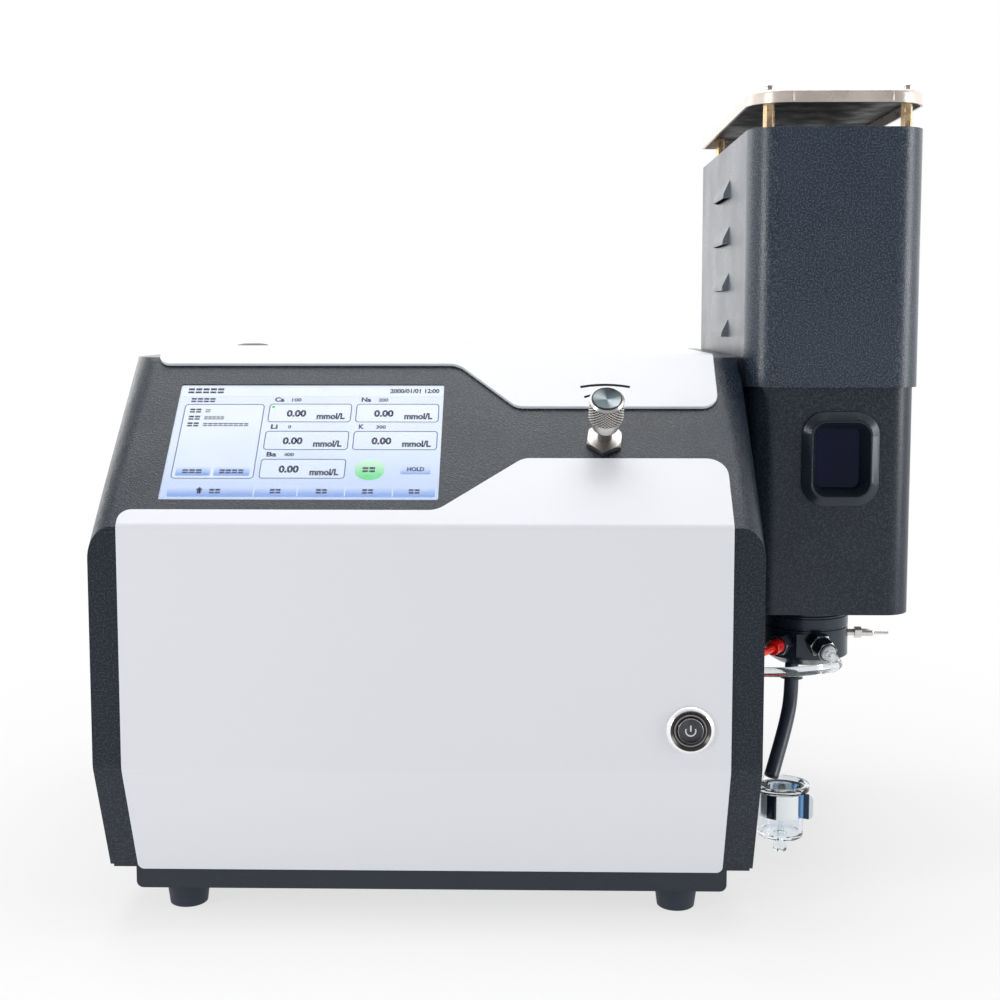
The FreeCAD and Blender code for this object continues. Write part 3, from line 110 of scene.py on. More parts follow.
# ---------------------------------------------------------------- finishes
def linear(colour: Rgb, gain: float = 1.0) -> Rgba:
    """Turns a screen colour into the shader's linear one.

    Args:
        colour: red, green and blue from 0 to 255.
        gain: how much lighter the result is.

    Returns:
        Linear red, green, blue and an alpha of 1.
    """
    def channel(value: float) -> float:
        """One channel, from 0-255 to linear."""
        value /= 255.0
        return value / 12.92 if value <= 0.04045 else ((value + 0.055) / 1.055) ** 2.4

    red, green, blue = (min(1.0, channel(value) * gain) for value in colour)
    return (red, green, blue, 1.0)


class NodeBench:
    """Adds and links the nodes of one tree."""

    def __init__(self, tree: bpy.types.NodeTree) -> None:
        """Takes a tree and empties it.

        Args:
            tree: of a material or of the world.
        """
        self.tree = tree
        tree.nodes.clear()

    def node(self, kind: str, **settings: object) -> bpy.types.Node:
        """Adds a node.

        Args:
            kind: Blender's name of the node type.
            settings: attributes to set on it.

        Returns:
            The node.
        """
        made = self.tree.nodes.new(kind)
        for key, value in settings.items():
            setattr(made, key, value)
        return made

    def feed(self, socket: Socket, value: object) -> None:
        """Links an input to a node's output, or sets it to a plain value.

        Args:
            socket: the input.
            value: an output socket, a number, a vector or a colour.
        """
        if isinstance(value, Socket):
            self.tree.links.new(value, socket)
        else:
            socket.default_value = value

    def spread(self, value: Socket, old: Span, new: Span = (0.0, 1.0)) -> Socket:
        """Maps one range of values smoothly to another.

        Args:
            value: the socket to map.
            old: the range it is read in.
            new: the range it is given.

        Returns:
            The mapped value's socket.
        """
        mapped = self.node("ShaderNodeMapRange", interpolation_type="SMOOTHSTEP")
        for name, number in zip(("From Min", "From Max", "To Min", "To Max"), (*old, *new)):
            self.feed(mapped.inputs[name], number)
        self.feed(mapped.inputs["Value"], value)
        return mapped.outputs["Result"]

    def mix(self, factor: Socket, first: object, second: object, colours: bool = True) -> Socket:
        """Mixes two colours or two numbers.

        Args:
            factor: 0 shows the first and 1 the second.
            first: a value or a socket.
            second: a value or a socket.
            colours: False where they are numbers.

        Returns:
            The mixture's socket.
        """
        kind, start, result = ("RGBA", 6, 2) if colours else ("FLOAT", 2, 0)
        mixed = self.node("ShaderNodeMix", data_type=kind)
        self.feed(mixed.inputs["Factor"], factor)
        self.feed(mixed.inputs[start], first)
        self.feed(mixed.inputs[start + 1], second)
        return mixed.outputs[result]


class Wiring(NodeBench):
    """Puts together the nodes of one material."""

    def __init__(self, name: str) -> None:
        """Starts a material with a Principled shader.

        Args:
            name: the material's name.
        """
        self.material = bpy.data.materials.new(name)
        self.material.use_nodes = True
        super().__init__(self.material.node_tree)
        self.output = self.node("ShaderNodeOutputMaterial")
        self.shader = self.node("ShaderNodeBsdfPrincipled")
        self.feed(self.output.inputs["Surface"], self.shader.outputs[0])
        self.place = self.node("ShaderNodeTexCoord").outputs["Object"]

    def set(self, socket: str, value: object) -> None:
        """Sets or links one of the shader's own sockets."""
        self.feed(self.shader.inputs[socket], value)

    def noise(self, size: float, stretch: Point = (1.0, 1.0, 1.0), detail: float = 2.0) -> Socket:
        """Adds a noise pattern.

        Args:
            size: width of its spots in millimetres.
            stretch: how many times finer it is along X, Y and Z.
            detail: levels of finer noise in it.

        Returns:
            A value socket around 0.5.
        """
        mapping = self.node("ShaderNodeMapping")
        self.feed(mapping.inputs["Scale"], Vector(stretch) / (size * MM))
        self.feed(mapping.inputs["Vector"], self.place)
        texture = self.node("ShaderNodeTexNoise")
        self.feed(texture.inputs["Scale"], 1.0)
        self.feed(texture.inputs["Detail"], detail)
        self.feed(texture.inputs["Vector"], mapping.outputs[0])
        return texture.outputs["Fac"]

    def along(self, direction: Point) -> Socket:
        """Measures how far the surface lies along a direction.

        Args:
            direction: a unit vector.

        Returns:
            The socket of the distance in metres.
        """
        product = self.node("ShaderNodeVectorMath", operation="DOT_PRODUCT")
        self.feed(product.inputs[0], self.place)
        self.feed(product.inputs[1], direction)
        return product.outputs["Value"]

    def math(self, operation: str, first: object, second: object = 0.0) -> Socket:
        """Works out one sum.

        Args:
            operation: Blender's name of it.
            first: a number or a value socket.
            second: a number or a value socket.

        Returns:
            The result's socket.
        """
        made = self.node("ShaderNodeMath", operation=operation)
        self.feed(made.inputs[0], first)
        self.feed(made.inputs[1], second)
        return made.outputs[0]

    def bump(self, height: Socket, relief: float) -> None:
        """Raises the surface by a pattern.

        Args:
            height: the pattern.
            relief: its height in millimetres.
        """
        bump = self.node("ShaderNodeBump")
        self.feed(bump.inputs["Distance"], relief * MM)
        self.feed(bump.inputs["Height"], height)
        self.set("Normal", bump.outputs["Normal"])


@dataclass(frozen=True)
class Finish:
    """An opaque finish: its colour with a soft mottle, its grain and its sheen."""

    name: str
    colour: Rgb
    roughness: float = 0.5
    metallic: float = 0.0
    grain: float = 0.8
    relief: float = 0.02
    mottle: float = 0.08
    patch: float = 30.0
    glint_specks: float = 0.0
    wander: float = 0.06
    stretch: Point = (1.0, 1.0, 1.0)
    specular: float = 0.5
    glint_fleck: Optional[Rgb] = None

    def material(self) -> bpy.types.Material:
        """Gives the material, made the first time it is asked for.

        Returns:
            The node material of this finish.
        """
        made = bpy.data.materials.get(self.name)
        if made is None:
            wiring = Wiring(self.name)
            self.wire(wiring)
            made = wiring.material
        return made

    def tones(self, wiring: Wiring, grain: Socket, patch: Socket) -> Socket:
        """Colours the surface with its mottle and its light specks, which are painted glints of the grain.

        Args:
            wiring: the material being made.
            grain: the fine pattern.
            patch: the wide pattern.

        Returns:
            The colour's socket.
        """
        base = wiring.mix(wiring.spread(patch, MOTTLE_SPAN), linear(self.colour, 1.0 - self.mottle),
                          linear(self.colour, 1.0 + self.mottle))
        # Painted glints: lighter specks and flecks laid on the grain.
        if self.glint_specks:
            base = wiring.mix(wiring.spread(grain, GLINT_SPECK_SPAN), base, linear(self.colour, 1.0 + self.glint_specks))
        if self.glint_fleck:
            base = wiring.mix(wiring.spread(grain, GLINT_FLECK_SPAN), base, linear(self.glint_fleck))
        return base

    def wire(self, wiring: Wiring) -> None:
        """Fills in the material's nodes.

        Args:
            wiring: the material being made.
        """
        grain = wiring.noise(self.grain, self.stretch)
        patch = wiring.noise(self.patch, detail=4.0)
        wiring.set("Metallic", self.metallic)
        wiring.set("Specular IOR Level", self.specular)
        wiring.set("Base Color", self.tones(wiring, grain, patch))
        low, high = max(0.02, self.roughness - self.wander), self.roughness + self.wander
        wiring.set("Roughness", wiring.spread(patch, MOTTLE_SPAN, (low, high)))
        wiring.bump(grain, self.relief)


@dataclass(frozen=True)
class ClearFinish(Finish):
    """A see-through plastic or glass."""

    ior: float = 1.49
    transmission: float = 1.0

    def wire(self, wiring: Wiring) -> None:
        """Adds transmission to the opaque finish's nodes.

        Args:
            wiring: the material being made.
        """
        super().wire(wiring)
        wiring.set("Transmission Weight", self.transmission)
        wiring.set("IOR", self.ior)


@dataclass(frozen=True)
class LitFinish(Finish):
    """A lit part of the screen's picture, shaded up the slope and softly clouded."""

    roughness: float = 0.3
    low_colour: Rgb = (255.0, 255.0, 255.0)
    low_up: float = 20.0
    high_up: float = 100.0
    glow: float = 1.0
    unlit: Rgba = (0.01, 0.01, 0.012, 1.0)

    def wire(self, wiring: Wiring) -> None:
        """Makes the surface shine in its two colours.

        Args:
            wiring: the material being made.
        """
        start = FRONT_Y * MM * math.cos(SLOPE) + BEND_Z * MM * math.sin(SLOPE)
        span = (start + self.low_up * MM, start + self.high_up * MM)
        height = wiring.spread(wiring.along(SLOPE_RISE), span)
        shade = wiring.mix(height, linear(self.low_colour), linear(self.colour))
        dim = 1.0 - self.mottle
        dimmed = wiring.mix(height, linear(self.low_colour, dim), linear(self.colour, dim))
        cloud = wiring.spread(wiring.noise(self.patch, detail=1.0), CLOUD_SPAN)
        wiring.set("Emission Color", wiring.mix(cloud, shade, dimmed))
        wiring.set("Base Color", self.unlit)
        wiring.set("Roughness", self.roughness)
        wiring.set("Specular IOR Level", 0.0)
        wiring.set("Emission Strength", self.glow)
        wiring.bump(wiring.noise(0.2), 0.001)


@dataclass(frozen=True)
class ScorchedFinish(Finish):
    """Sooty steel with bare streaks along X."""

    bare: Rgb = (150.0, 140.0, 128.0)
    streak: float = 3.0
    streak_stretch: Point = (0.35, 1.6, 1.0)
    streak_span: Span = (0.6, 0.68)

    def tones(self, wiring: Wiring, grain: Socket, patch: Socket) -> Socket:
        """Lays bare streaks over the soot.

        Args:
            wiring: the material being made.
            grain: the fine pattern.
            patch: the wide pattern.

        Returns:
            The colour's socket.
        """
        soot = super().tones(wiring, grain, patch)
        streak = wiring.noise(self.streak, self.streak_stretch, detail=5.0)
        return wiring.mix(wiring.spread(streak, self.streak_span, (0.0, 0.8)), soot, linear(self.bare))


@dataclass(frozen=True)
class TurnedPaintedLightFinish(Finish):
    """Metal turned about an axis, with a painted highlight in bright sectors or painted shade in dark
    grooves.
    """

    middle: Point = (0.0, 0.0, 0.0)
    rise: Point = (0.0, 0.0, 1.0)
    lit_colour: Rgb = (255.0, 255.0, 255.0)
    highlight_sector: float = 146.0
    fade: Span = (0.0, 1.35)
    highlight_rays: float = 9.0
    highlight_ray_strength: float = 0.7
    groove: Optional[Span] = None

    def tones(self, wiring: Wiring, grain: Socket, patch: Socket) -> Socket:
        """Colours by the angle round the axis for the painted highlight, or by the distance from it for the
        painted shade in the grooves.

        Args:
            wiring: the material being made.
            grain: the fine pattern.
            patch: the wide pattern.

        Returns:
            The colour's socket.
        """
        base = super().tones(wiring, grain, patch)
        turn = math.radians(self.highlight_sector)
        squares = []
        for across, rise in ((math.cos(turn), math.sin(turn)), (-math.sin(turn), math.cos(turn))):
            way = Vector((across, rise * self.rise[1], rise * self.rise[2]))
            offset = wiring.math("SUBTRACT", wiring.along(tuple(way)), way.dot(Vector(self.middle)) * MM)
            squares.append(wiring.math("MULTIPLY", offset, offset))
        total = wiring.math("ADD", squares[0], squares[1])
        # Painted shade: the grooves keep the dark colour and the ridges outside take the lit one.
        if self.groove:
            inner, outer = self.groove
            depth = wiring.spread(wiring.math("SQRT", total), (inner * MM, outer * MM))
            return wiring.mix(depth, base, linear(self.lit_colour))
        # Painted highlight: two opposite bright sectors, streaked by a noise along the angle.
        ratio = wiring.math("DIVIDE", wiring.math("SUBTRACT", squares[0], squares[1]), total)
        highlight_rays = wiring.node("ShaderNodeTexNoise", noise_dimensions="1D")
        wiring.feed(highlight_rays.inputs["Scale"], self.highlight_rays)
        wiring.feed(highlight_rays.inputs["W"], ratio)
        light = wiring.math("ADD", ratio, wiring.math("MULTIPLY", highlight_rays.outputs["Fac"], self.highlight_ray_strength))
        return wiring.mix(wiring.spread(light, self.fade), base, linear(self.lit_colour))


@dataclass(frozen=True)
class PaintedReflectionFinish(Finish):
    """Polished sheet with painted reflections: bands of light and dark along X."""

    reflection_bands: Sequence[tuple[float, Rgb]] = ()
    blur: float = 0.3

    def tones(self, wiring: Wiring, grain: Socket, patch: Socket) -> Socket:
        """Lays the painted reflection bands side by side, each from its own X in millimetres.

        Args:
            wiring: the material being made.
            grain: the fine pattern.
            patch: the wide pattern.

        Returns:
            The colour's socket.
        """
        shade = super().tones(wiring, grain, patch)
        across = wiring.along((1.0, 0.0, 0.0))
        for start, colour in self.reflection_bands:
            edge = wiring.spread(across, ((start - self.blur) * MM, (start + self.blur) * MM))
            shade = wiring.mix(edge, shade, linear(colour))
        return shade


# The flecks of the case, sleeve and housing coats and the specks of the tray coat are painted glints of the
# powder coat's grain.
CASE_COAT = Finish("case_coat", (8, 18, 33), 0.3, grain=1.0, relief=0.24, mottle=0.08,
                   wander=0.04, specular=0.36, glint_fleck=(42, 52, 60))
SLEEVE_COAT = Finish("sleeve_coat", (34, 44, 58), 0.3, grain=0.9, relief=0.13, mottle=0.06,
                     patch=40, wander=0.03, specular=0.5, glint_fleck=(70, 81, 94))
HOUSING_COAT = Finish("housing_coat", (16, 26, 39), 0.32, grain=0.9, relief=0.07, mottle=0.06,
                      patch=40, wander=0.04, specular=0.4, glint_fleck=(46, 56, 68))
WHITE_ENAMEL = Finish("white_enamel", (221, 223, 229), 0.3, grain=2.4, relief=0.003, mottle=0.005,
                      patch=110, wander=0.015, specular=0.45)
TRAY_COAT = Finish("tray_coat", (28, 36, 47), 0.5, grain=0.9, relief=0.03, glint_specks=0.3)
FOOT_RUBBER = Finish("foot_rubber", (42, 50, 62), 0.6, grain=0.5, relief=0.03, mottle=0.1, specular=0.35)
HOSE_RUBBER = Finish("hose_rubber", (46, 54, 66), 0.35, grain=0.7, relief=0.01, mottle=0.12, patch=8)
CHROME = Finish("polished_chrome", (214, 215, 218), 0.07, 1.0, grain=3.0, relief=0.002, mottle=0.05,
                patch=6, wander=0.03)
NICKEL = Finish("turned_nickel", (156, 153, 150), 0.3, 0.9, grain=0.35, relief=0.002, mottle=0.05,
                patch=10, wander=0.03)
# The dish's bright sectors are a painted highlight.
KNOB_DISH = TurnedPaintedLightFinish("knob_dish", (58, 66, 70), 0.34, 1.0, grain=0.3, relief=0.003, mottle=0.1, patch=4,
                         middle=KNOB_MIDDLE, rise=SLOPE_RISE, lit_colour=(112, 118, 122))
# The knurl's dark grooves are painted shade; the ridges carry the metal's lit colour.
KNURLED = TurnedPaintedLightFinish("knurled_grip", (26, 24, 24), 0.3, 0.85, grain=0.3, relief=0.003, mottle=0.1, patch=4,
                       middle=KNOB_MIDDLE, rise=SLOPE_RISE, lit_colour=(226, 223, 219),
                       groove=(9.5, 9.78))
SATIN = Finish("satin_nickel", (222, 219, 216), 0.26, 0.72, grain=0.5, relief=0.002, mottle=0.04, patch=12,
               wander=0.03)
# The bezel chrome's colour is a painted reflection: bright all round but for two narrow dark sectors.
BEZEL_CHROME = TurnedPaintedLightFinish("bezel_chrome", (70, 70, 76), 0.08, 0.7, grain=3.0, relief=0.002, mottle=0.05,
                            patch=6, wander=0.03, middle=BUTTON_MIDDLE, lit_colour=(250, 250, 252),
                            highlight_sector=100.0, fade=(-0.85, -0.7))
# The clip's dark and light bands are painted reflections; the blue band stands for steel blued near the lip.
SPRING_STEEL = PaintedReflectionFinish("spring_steel", (226, 232, 236), 0.12, 0.7, grain=2.0, relief=0.004, mottle=0.06,
                            patch=5, wander=0.04, reflection_bands=((151.9, (38, 50, 62)), (157.4, (236, 241, 244)),
                                                         (171.6, (124, 170, 216)), (174.9, (36, 58, 80)),
                                                         (178.3, (226, 232, 238))))
STAINLESS = Finish("brushed_stainless", (176, 174, 170), 0.3, 1.0, grain=0.6, relief=0.004,
                   mottle=0.08, patch=9, stretch=(0.08, 1.0, 1.0))
GROUND_STEEL = Finish("ground_steel", (214, 203, 195), 0.3, 0.45, grain=1.1, relief=0.012,
                      mottle=0.08, patch=16, wander=0.05, stretch=(0.5, 0.25, 0.2))
SHIELD_TOP = Finish("shield_top", (128, 123, 118), 0.42, 0.7, grain=1.0, relief=0.01, mottle=0.06, patch=24,
                    wander=0.05, stretch=(1.0, 0.1, 1.0))
SOOTY_STEEL = ScorchedFinish("sooty_steel", (40, 45, 52), 0.5, 0.4, grain=1.4, relief=0.08,
                             mottle=0.3, patch=16, wander=0.12)
BRASS = Finish("hex_brass", (226, 198, 156), 0.28, 0.7, grain=0.8, relief=0.004, mottle=0.14, patch=5)
ALUMINIUM = Finish("sheet_aluminium", (170, 172, 176), 0.38, 1.0, grain=0.6, relief=0.004,
                   mottle=0.06, stretch=(0.1, 1.0, 1.0))
ANODISED = Finish("black_anodising", (36, 44, 58), 0.24, 0.2, grain=0.5, relief=0.006, mottle=0.12,
                  patch=10, wander=0.06)
# Painted highlight for the bevelled edges of the black fittings.
EDGE_HIGHLIGHT_ANODISED = Finish("edge_highlight_anodising", (150, 152, 156), 0.24, 0.9, grain=0.5, relief=0.004,
                       mottle=0.2, patch=3)
BEZEL_BLACK = Finish("bezel_black", (32, 40, 50), 0.26, 0.3, grain=0.6, relief=0.004, mottle=0.05, patch=20,
                     wander=0.02, specular=0.6)
DARK_PLASTIC = Finish("dark_plastic", (36, 38, 42), 0.45, grain=0.5, relief=0.015)
GLOSS_PLASTIC = Finish("gloss_plastic", (26, 28, 31), 0.2, grain=2.0, relief=0.002, mottle=0.05, patch=6)
CAP_BLACK = Finish("cap_black", (58, 59, 65), 0.24, 0.4, grain=0.6, relief=0.003, mottle=0.25, patch=7)
BUTTON_RING = Finish("button_ring", (64, 61, 60), 0.3, 0.6, grain=1.0, relief=0.003, mottle=0.15, patch=6)
RING_LINE = Finish("ring_line", (150, 149, 150), 0.3, 0.8, grain=0.6, relief=0.003, mottle=0.15, patch=4)
SYMBOL = Finish("symbol_grey", (206, 208, 212), 0.3, grain=0.4, relief=0.003, mottle=0.05, patch=3)
RED_PLASTIC = Finish("red_collar", (214, 24, 20), 0.22, grain=1.2, relief=0.003, mottle=0.1, patch=5)
RED_HOSE = Finish("red_hose_wall", (236, 40, 30), 0.24, grain=0.8, relief=0.004, mottle=0.1, patch=6)
TUBE_FACE = Finish("tube_face", (206, 210, 212), 0.3, grain=0.6, relief=0.004, mottle=0.1, patch=3)
MARK_INK = Finish("mark_ink", (12, 12, 14), 0.5, grain=0.4, relief=0.002, mottle=0.05, patch=4, specular=0.08)
BOARD_GREEN = Finish("board_green", (34, 96, 62), 0.4, grain=0.6, relief=0.01, mottle=0.2, patch=12)
CERAMIC = Finish("glazed_ceramic", (228, 224, 212), 0.3, grain=0.8, relief=0.004)
ACRYLIC = ClearFinish("clear_cup", (244, 249, 252), 0.03, grain=2.0, relief=0.002, mottle=0.01, wander=0.01)
HOSE_CLEAR = ClearFinish("clear_hose_wall", (236, 239, 242), 0.06, grain=1.0, relief=0.002,
                         mottle=0.03, patch=4, wander=0.02, transmission=0.94, ior=1.42)
PANE = ClearFinish("screen_pane", (250, 252, 255), 0.04, grain=3.0, relief=0.0003, mottle=0.004,
                   wander=0.01, specular=0.1, ior=1.2)
COBALT = ClearFinish("cobalt_pane", (4, 12, 50), 0.05, grain=3.0, relief=0.001, mottle=0.1,
                     patch=14, wander=0.02, specular=0.1, transmission=0.05, ior=1.5)
FILTER = ClearFinish("colour_filter", (214, 120, 60), 0.08, grain=2.0, relief=0.001, transmission=0.7)
SCREEN_BACK = LitFinish("screen_back", (230, 240, 253), patch=46, mottle=0.04,
                        low_colour=(198, 216, 247), low_up=18, high_up=70)
SCREEN_WHITE = LitFinish("screen_white", (240, 247, 254), patch=30, mottle=0.04,
                         low_colour=(218, 231, 250))
SCREEN_EDGE = LitFinish("screen_edge", (70, 82, 138), patch=9, mottle=0.12,
                        low_colour=(78, 90, 140))
SCREEN_INK = LitFinish("screen_ink", (12, 16, 70), patch=3, mottle=0.1,
                       low_colour=(10, 14, 64))
SCREEN_GREY = LitFinish("screen_grey_ink", (78, 82, 102), patch=3, mottle=0.1,
                        low_colour=(74, 78, 98))
SCREEN_BLUE = LitFinish("screen_blue", (206, 222, 250), patch=6, mottle=0.04,
                        low_colour=(132, 166, 228), low_up=38, high_up=44)
SCREEN_BAR = LitFinish("screen_bar", (206, 222, 250), patch=20, mottle=0.04,
                       low_colour=(132, 166, 228), low_up=23, high_up=30.5)
SCREEN_GREEN = LitFinish("screen_green", (214, 246, 222), patch=6, mottle=0.03,
                         low_colour=(112, 222, 146), low_up=36, high_up=50)
SCREEN_LAMP = LitFinish("screen_lamp", (52, 226, 60), patch=2, mottle=0.05,
                        low_colour=(40, 210, 50), low_up=89, high_up=92)


# ---------------------------------------------------------------- handwork
def slope_place(x: float, up: float, out: float = 0.0) -> Matrix:
    """Gives a place on the sloped face.

    Args:
        x: millimetres across.
        up: millimetres up the slope from the front bend.
        out: millimetres out of it.

    Returns:
        A matrix whose X runs right, Y up the slope and Z outwards.
    """
    return (Matrix.Translation((0.0, FRONT_Y * MM, BEND_Z * MM)) @ Matrix.Rotation(SLOPE, 4, "X")
            @ Matrix.Translation((x * MM, up * MM, out * MM)))


def front_place(x: float, y: float, z: float) -> Matrix:
    """Gives a place whose Z points out of the front and whose Y points up."""
    return Matrix.Translation((x * MM, y * MM, z * MM)) @ Matrix.Rotation(math.pi / 2, 4, "X")


def between(inner: float = -math.inf, outer: float = math.inf, low: float = -math.inf,
            high: float = math.inf) -> FaceTest:
    """Makes a test for faces by their distance from the Z axis and their height.

    Args:
        inner: smallest distance in millimetres.
        outer: largest distance.
        low: smallest height.
        high: largest height.

    Returns:
        A test that is given a face's middle and its normal.
    """
    return lambda middle, normal: (inner * MM < middle.xy.length < outer * MM
                                   and low * MM < middle.z < high * MM)


class Workpiece:
    """One mesh, made by hand from a primitive or from a copy of a solid."""

    def __init__(self, obj: bpy.types.Object, name: str) -> None:
        """Takes a fresh object onto the bench.

        Args:
            obj: the mesh object.
            name: the piece's name.
        """
        self.obj = obj
        obj.name = name
        obj.data.name = name

    @staticmethod
    def clear_bench() -> None:
        """Leaves edit mode and deselects everything."""
        active = bpy.context.view_layer.objects.active
        if active is not None and active.mode != "OBJECT":
            bpy.ops.object.mode_set(mode="OBJECT")
        bpy.ops.object.select_all(action="DESELECT")

    def hold(self) -> None:
        """Selects this piece alone."""
        self.clear_bench()
        self.obj.select_set(True)
        bpy.context.view_layer.objects.active = self.obj

    @staticmethod
    def pull_up(height: float) -> None:
        """Extrudes the selection along Z, in edit mode, by a height in millimetres."""
        bpy.ops.mesh.extrude_region_move(TRANSFORM_OT_translate={"value": (0, 0, height * MM)})

    @staticmethod
    def face_out() -> None:
        """Selects every face and turns it outwards, in edit mode."""
        bpy.ops.mesh.select_all(action="SELECT")
        bpy.ops.mesh.normals_make_consistent(inside=False)

    @contextmanager
    def at_work(self, mode: str = "FACE") -> Iterator[None]:
        """Opens edit mode with nothing selected.

        Args:
            mode: VERT, EDGE or FACE.

        Returns:
            A context that leaves edit mode at its end.
        """
        self.hold()
        bpy.ops.object.mode_set(mode="EDIT")
        bpy.ops.mesh.select_mode(type=mode)
        bpy.ops.mesh.select_all(action="DESELECT")
        yield
        bpy.ops.object.mode_set(mode="OBJECT")

    @classmethod
    def copy_of(cls, node: str, name: str) -> "Workpiece":
        """Starts from a copy of a solid, its triangles merged into faces.

        Args:
            node: the solid's name.
            name: the new piece's name.

        Returns:
            The piece.
        """
        cls.clear_bench()
        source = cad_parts[node]
        copy = bpy.data.objects.new(name, source.data.copy())
        bpy.context.scene.collection.objects.link(copy)
        piece = cls(copy, name)
        with piece.at_work("VERT"):
            bpy.ops.mesh.select_all(action="SELECT")
            bpy.ops.mesh.remove_doubles(threshold=WELD)
            bpy.ops.mesh.dissolve_limited(angle_limit=math.radians(0.5))
        copy.data.materials.clear()
        return piece

    @classmethod
    def turned(cls, name: str, profile: Sequence[Span], sides: int = 96, ring: bool = False) -> "Workpiece":
        """Turns a piece about Z by extruding a circle along a profile.

        Args:
            name: the piece's name.
            profile: (radius, height) points in millimetres.
            sides: facets round it.
            ring: True where the profile closes on itself and leaves a bore.

        Returns:
            The piece.
        """
        cls.clear_bench()
        radius, height = profile[0]
        bpy.ops.mesh.primitive_circle_add(vertices=sides, radius=radius * MM,
                                          fill_type="NOTHING" if ring else "NGON")
        piece = cls(bpy.context.object, name)
        with piece.at_work("EDGE" if ring else "FACE"):
            bpy.ops.mesh.select_all(action="SELECT")
            bpy.ops.transform.translate(value=(0, 0, height * MM))
            for next_radius, next_height in profile[1:]:
                cls.pull_up(next_height - height)
                scale = next_radius / radius
                bpy.ops.transform.resize(value=(scale, scale, 1), center_override=(0, 0, next_height * MM))
                radius, height = next_radius, next_height
            bpy.ops.mesh.select_all(action="SELECT")
            bpy.ops.mesh.remove_doubles(threshold=WELD)
            cls.face_out()
        return piece

    @classmethod
    def plate(cls, name: str, box: Box, corner: float, thickness: float,
              frame_width: float = 0.0) -> "Workpiece":
        """Makes a flat plate with rounded corners, standing on the XY plane.

        Args:
            name: the piece's name.
            box: left, low, right and high edges in millimetres.
            corner: the corners' radius.
            thickness: its height.
            frame_width: where above 0, only a frame of that width is left.

        Returns:
            The piece.
        """
        cls.clear_bench()
        x0, y0, x1, y1 = (value * MM for value in box)
        bpy.ops.mesh.primitive_plane_add(size=1.0)
        piece = cls(bpy.context.object, name)
        with piece.at_work("VERT"):
            bpy.ops.mesh.select_all(action="SELECT")
            bpy.ops.transform.resize(value=(x1 - x0, y1 - y0, 1), center_override=(0, 0, 0))
            bpy.ops.transform.translate(value=((x0 + x1) / 2, (y0 + y1) / 2, 0))
            if corner:
                bpy.ops.mesh.bevel(offset=corner * MM, segments=5, affect="VERTICES")
            bpy.ops.mesh.select_mode(type="FACE")
            bpy.ops.mesh.select_all(action="SELECT")
            if frame_width:
                bpy.ops.mesh.inset(thickness=frame_width * MM)
                bpy.ops.mesh.delete(type="ONLY_FACE")
                bpy.ops.mesh.select_all(action="SELECT")
            cls.pull_up(thickness)
            cls.face_out()
        return piece

    @classmethod
    def arc(cls, name: str, radius: float, width: float, thickness: float, start: float,
            sweep: float) -> "Workpiece":
        """Spins a small section about Z into a flat arc.

        Args:
            name: the piece's name.
            radius: of its middle line, in millimetres.
            width: across the line.
            thickness: its height above the XY plane.
            start: degrees from the X axis.
            sweep: degrees that it goes on for, anticlockwise.

        Returns:
            The piece.
        """
        cls.clear_bench()
        bpy.ops.mesh.primitive_plane_add(size=1.0)
        piece = cls(bpy.context.object, name)
        with piece.at_work():
            bpy.ops.mesh.select_all(action="SELECT")
            bpy.ops.transform.resize(value=(width * MM, thickness * MM, 1), center_override=(0, 0, 0))
            bpy.ops.transform.rotate(value=-math.pi / 2, orient_axis="X", center_override=(0, 0, 0))
            bpy.ops.transform.translate(value=(radius * MM, 0, thickness * MM / 2))
            bpy.ops.mesh.spin(steps=max(6, int(sweep / 6)), angle=math.radians(sweep),
                              center=(0, 0, 0), axis=(0, 0, -1))
            bpy.ops.mesh.select_all(action="SELECT")
            bpy.ops.mesh.remove_doubles(threshold=WELD)
            cls.face_out()
        return piece.place(Matrix.Rotation(math.radians(start), 4, "Z"))

    @classmethod
    def lettering(cls, name: str, words: str, box: Box, thickness: float,
                  weight: float = 0.045) -> "Workpiece":
        """Sets words to fill a box on the XY plane.

        Args:
            name: the piece's name.
            words: what they say.
            box: left, low, right and high edges in millimetres.
            thickness: the letters' height above the plane.
            weight: how bold they are.

        Returns:
            The piece.
        """
        cls.clear_bench()
        bpy.ops.object.text_add()
        text = bpy.context.object
        text.data.body = words
        text.data.resolution_u = 3
        text.data.offset = weight
        bpy.ops.object.convert(target="MESH")
        piece = cls(bpy.context.object, name)
        points = [vertex.co for vertex in piece.obj.data.vertices]
        left, right = min(p.x for p in points), max(p.x for p in points)
        low, high = min(p.y for p in points), max(p.y for p in points)
        x0, y0, x1, y1 = (value * MM for value in box)
        with piece.at_work():
            bpy.ops.mesh.select_all(action="SELECT")
            bpy.ops.mesh.dissolve_limited(angle_limit=math.radians(1))
            bpy.ops.transform.translate(value=(-left, -low, 0))
            bpy.ops.transform.resize(value=((x1 - x0) / (right - left), (y1 - y0) / (high - low), 1),
                                     center_override=(0, 0, 0))
            bpy.ops.transform.translate(value=(x0, y0, 0))
            cls.pull_up(thickness)
            cls.face_out()
        return piece

    def pick(self, test: FaceTest) -> None:
        """Selects the faces that pass a test, in edit mode.

        Args:
            test: given a face's middle and its normal.
        """
        mesh = bmesh.from_edit_mesh(self.obj.data)
        for face in mesh.faces:
            face.select_set(test(face.calc_center_median(), face.normal))
        bmesh.update_edit_mesh(self.obj.data)

    def pick_points(self, test: Callable[[Vector], bool]) -> None:
        """Selects the points that pass a test, in edit mode.

        Args:
            test: given a point's place.
        """
        mesh = bmesh.from_edit_mesh(self.obj.data)
        for vertex in mesh.verts:
            vertex.select_set(test(vertex.co))
        bmesh.update_edit_mesh(self.obj.data)

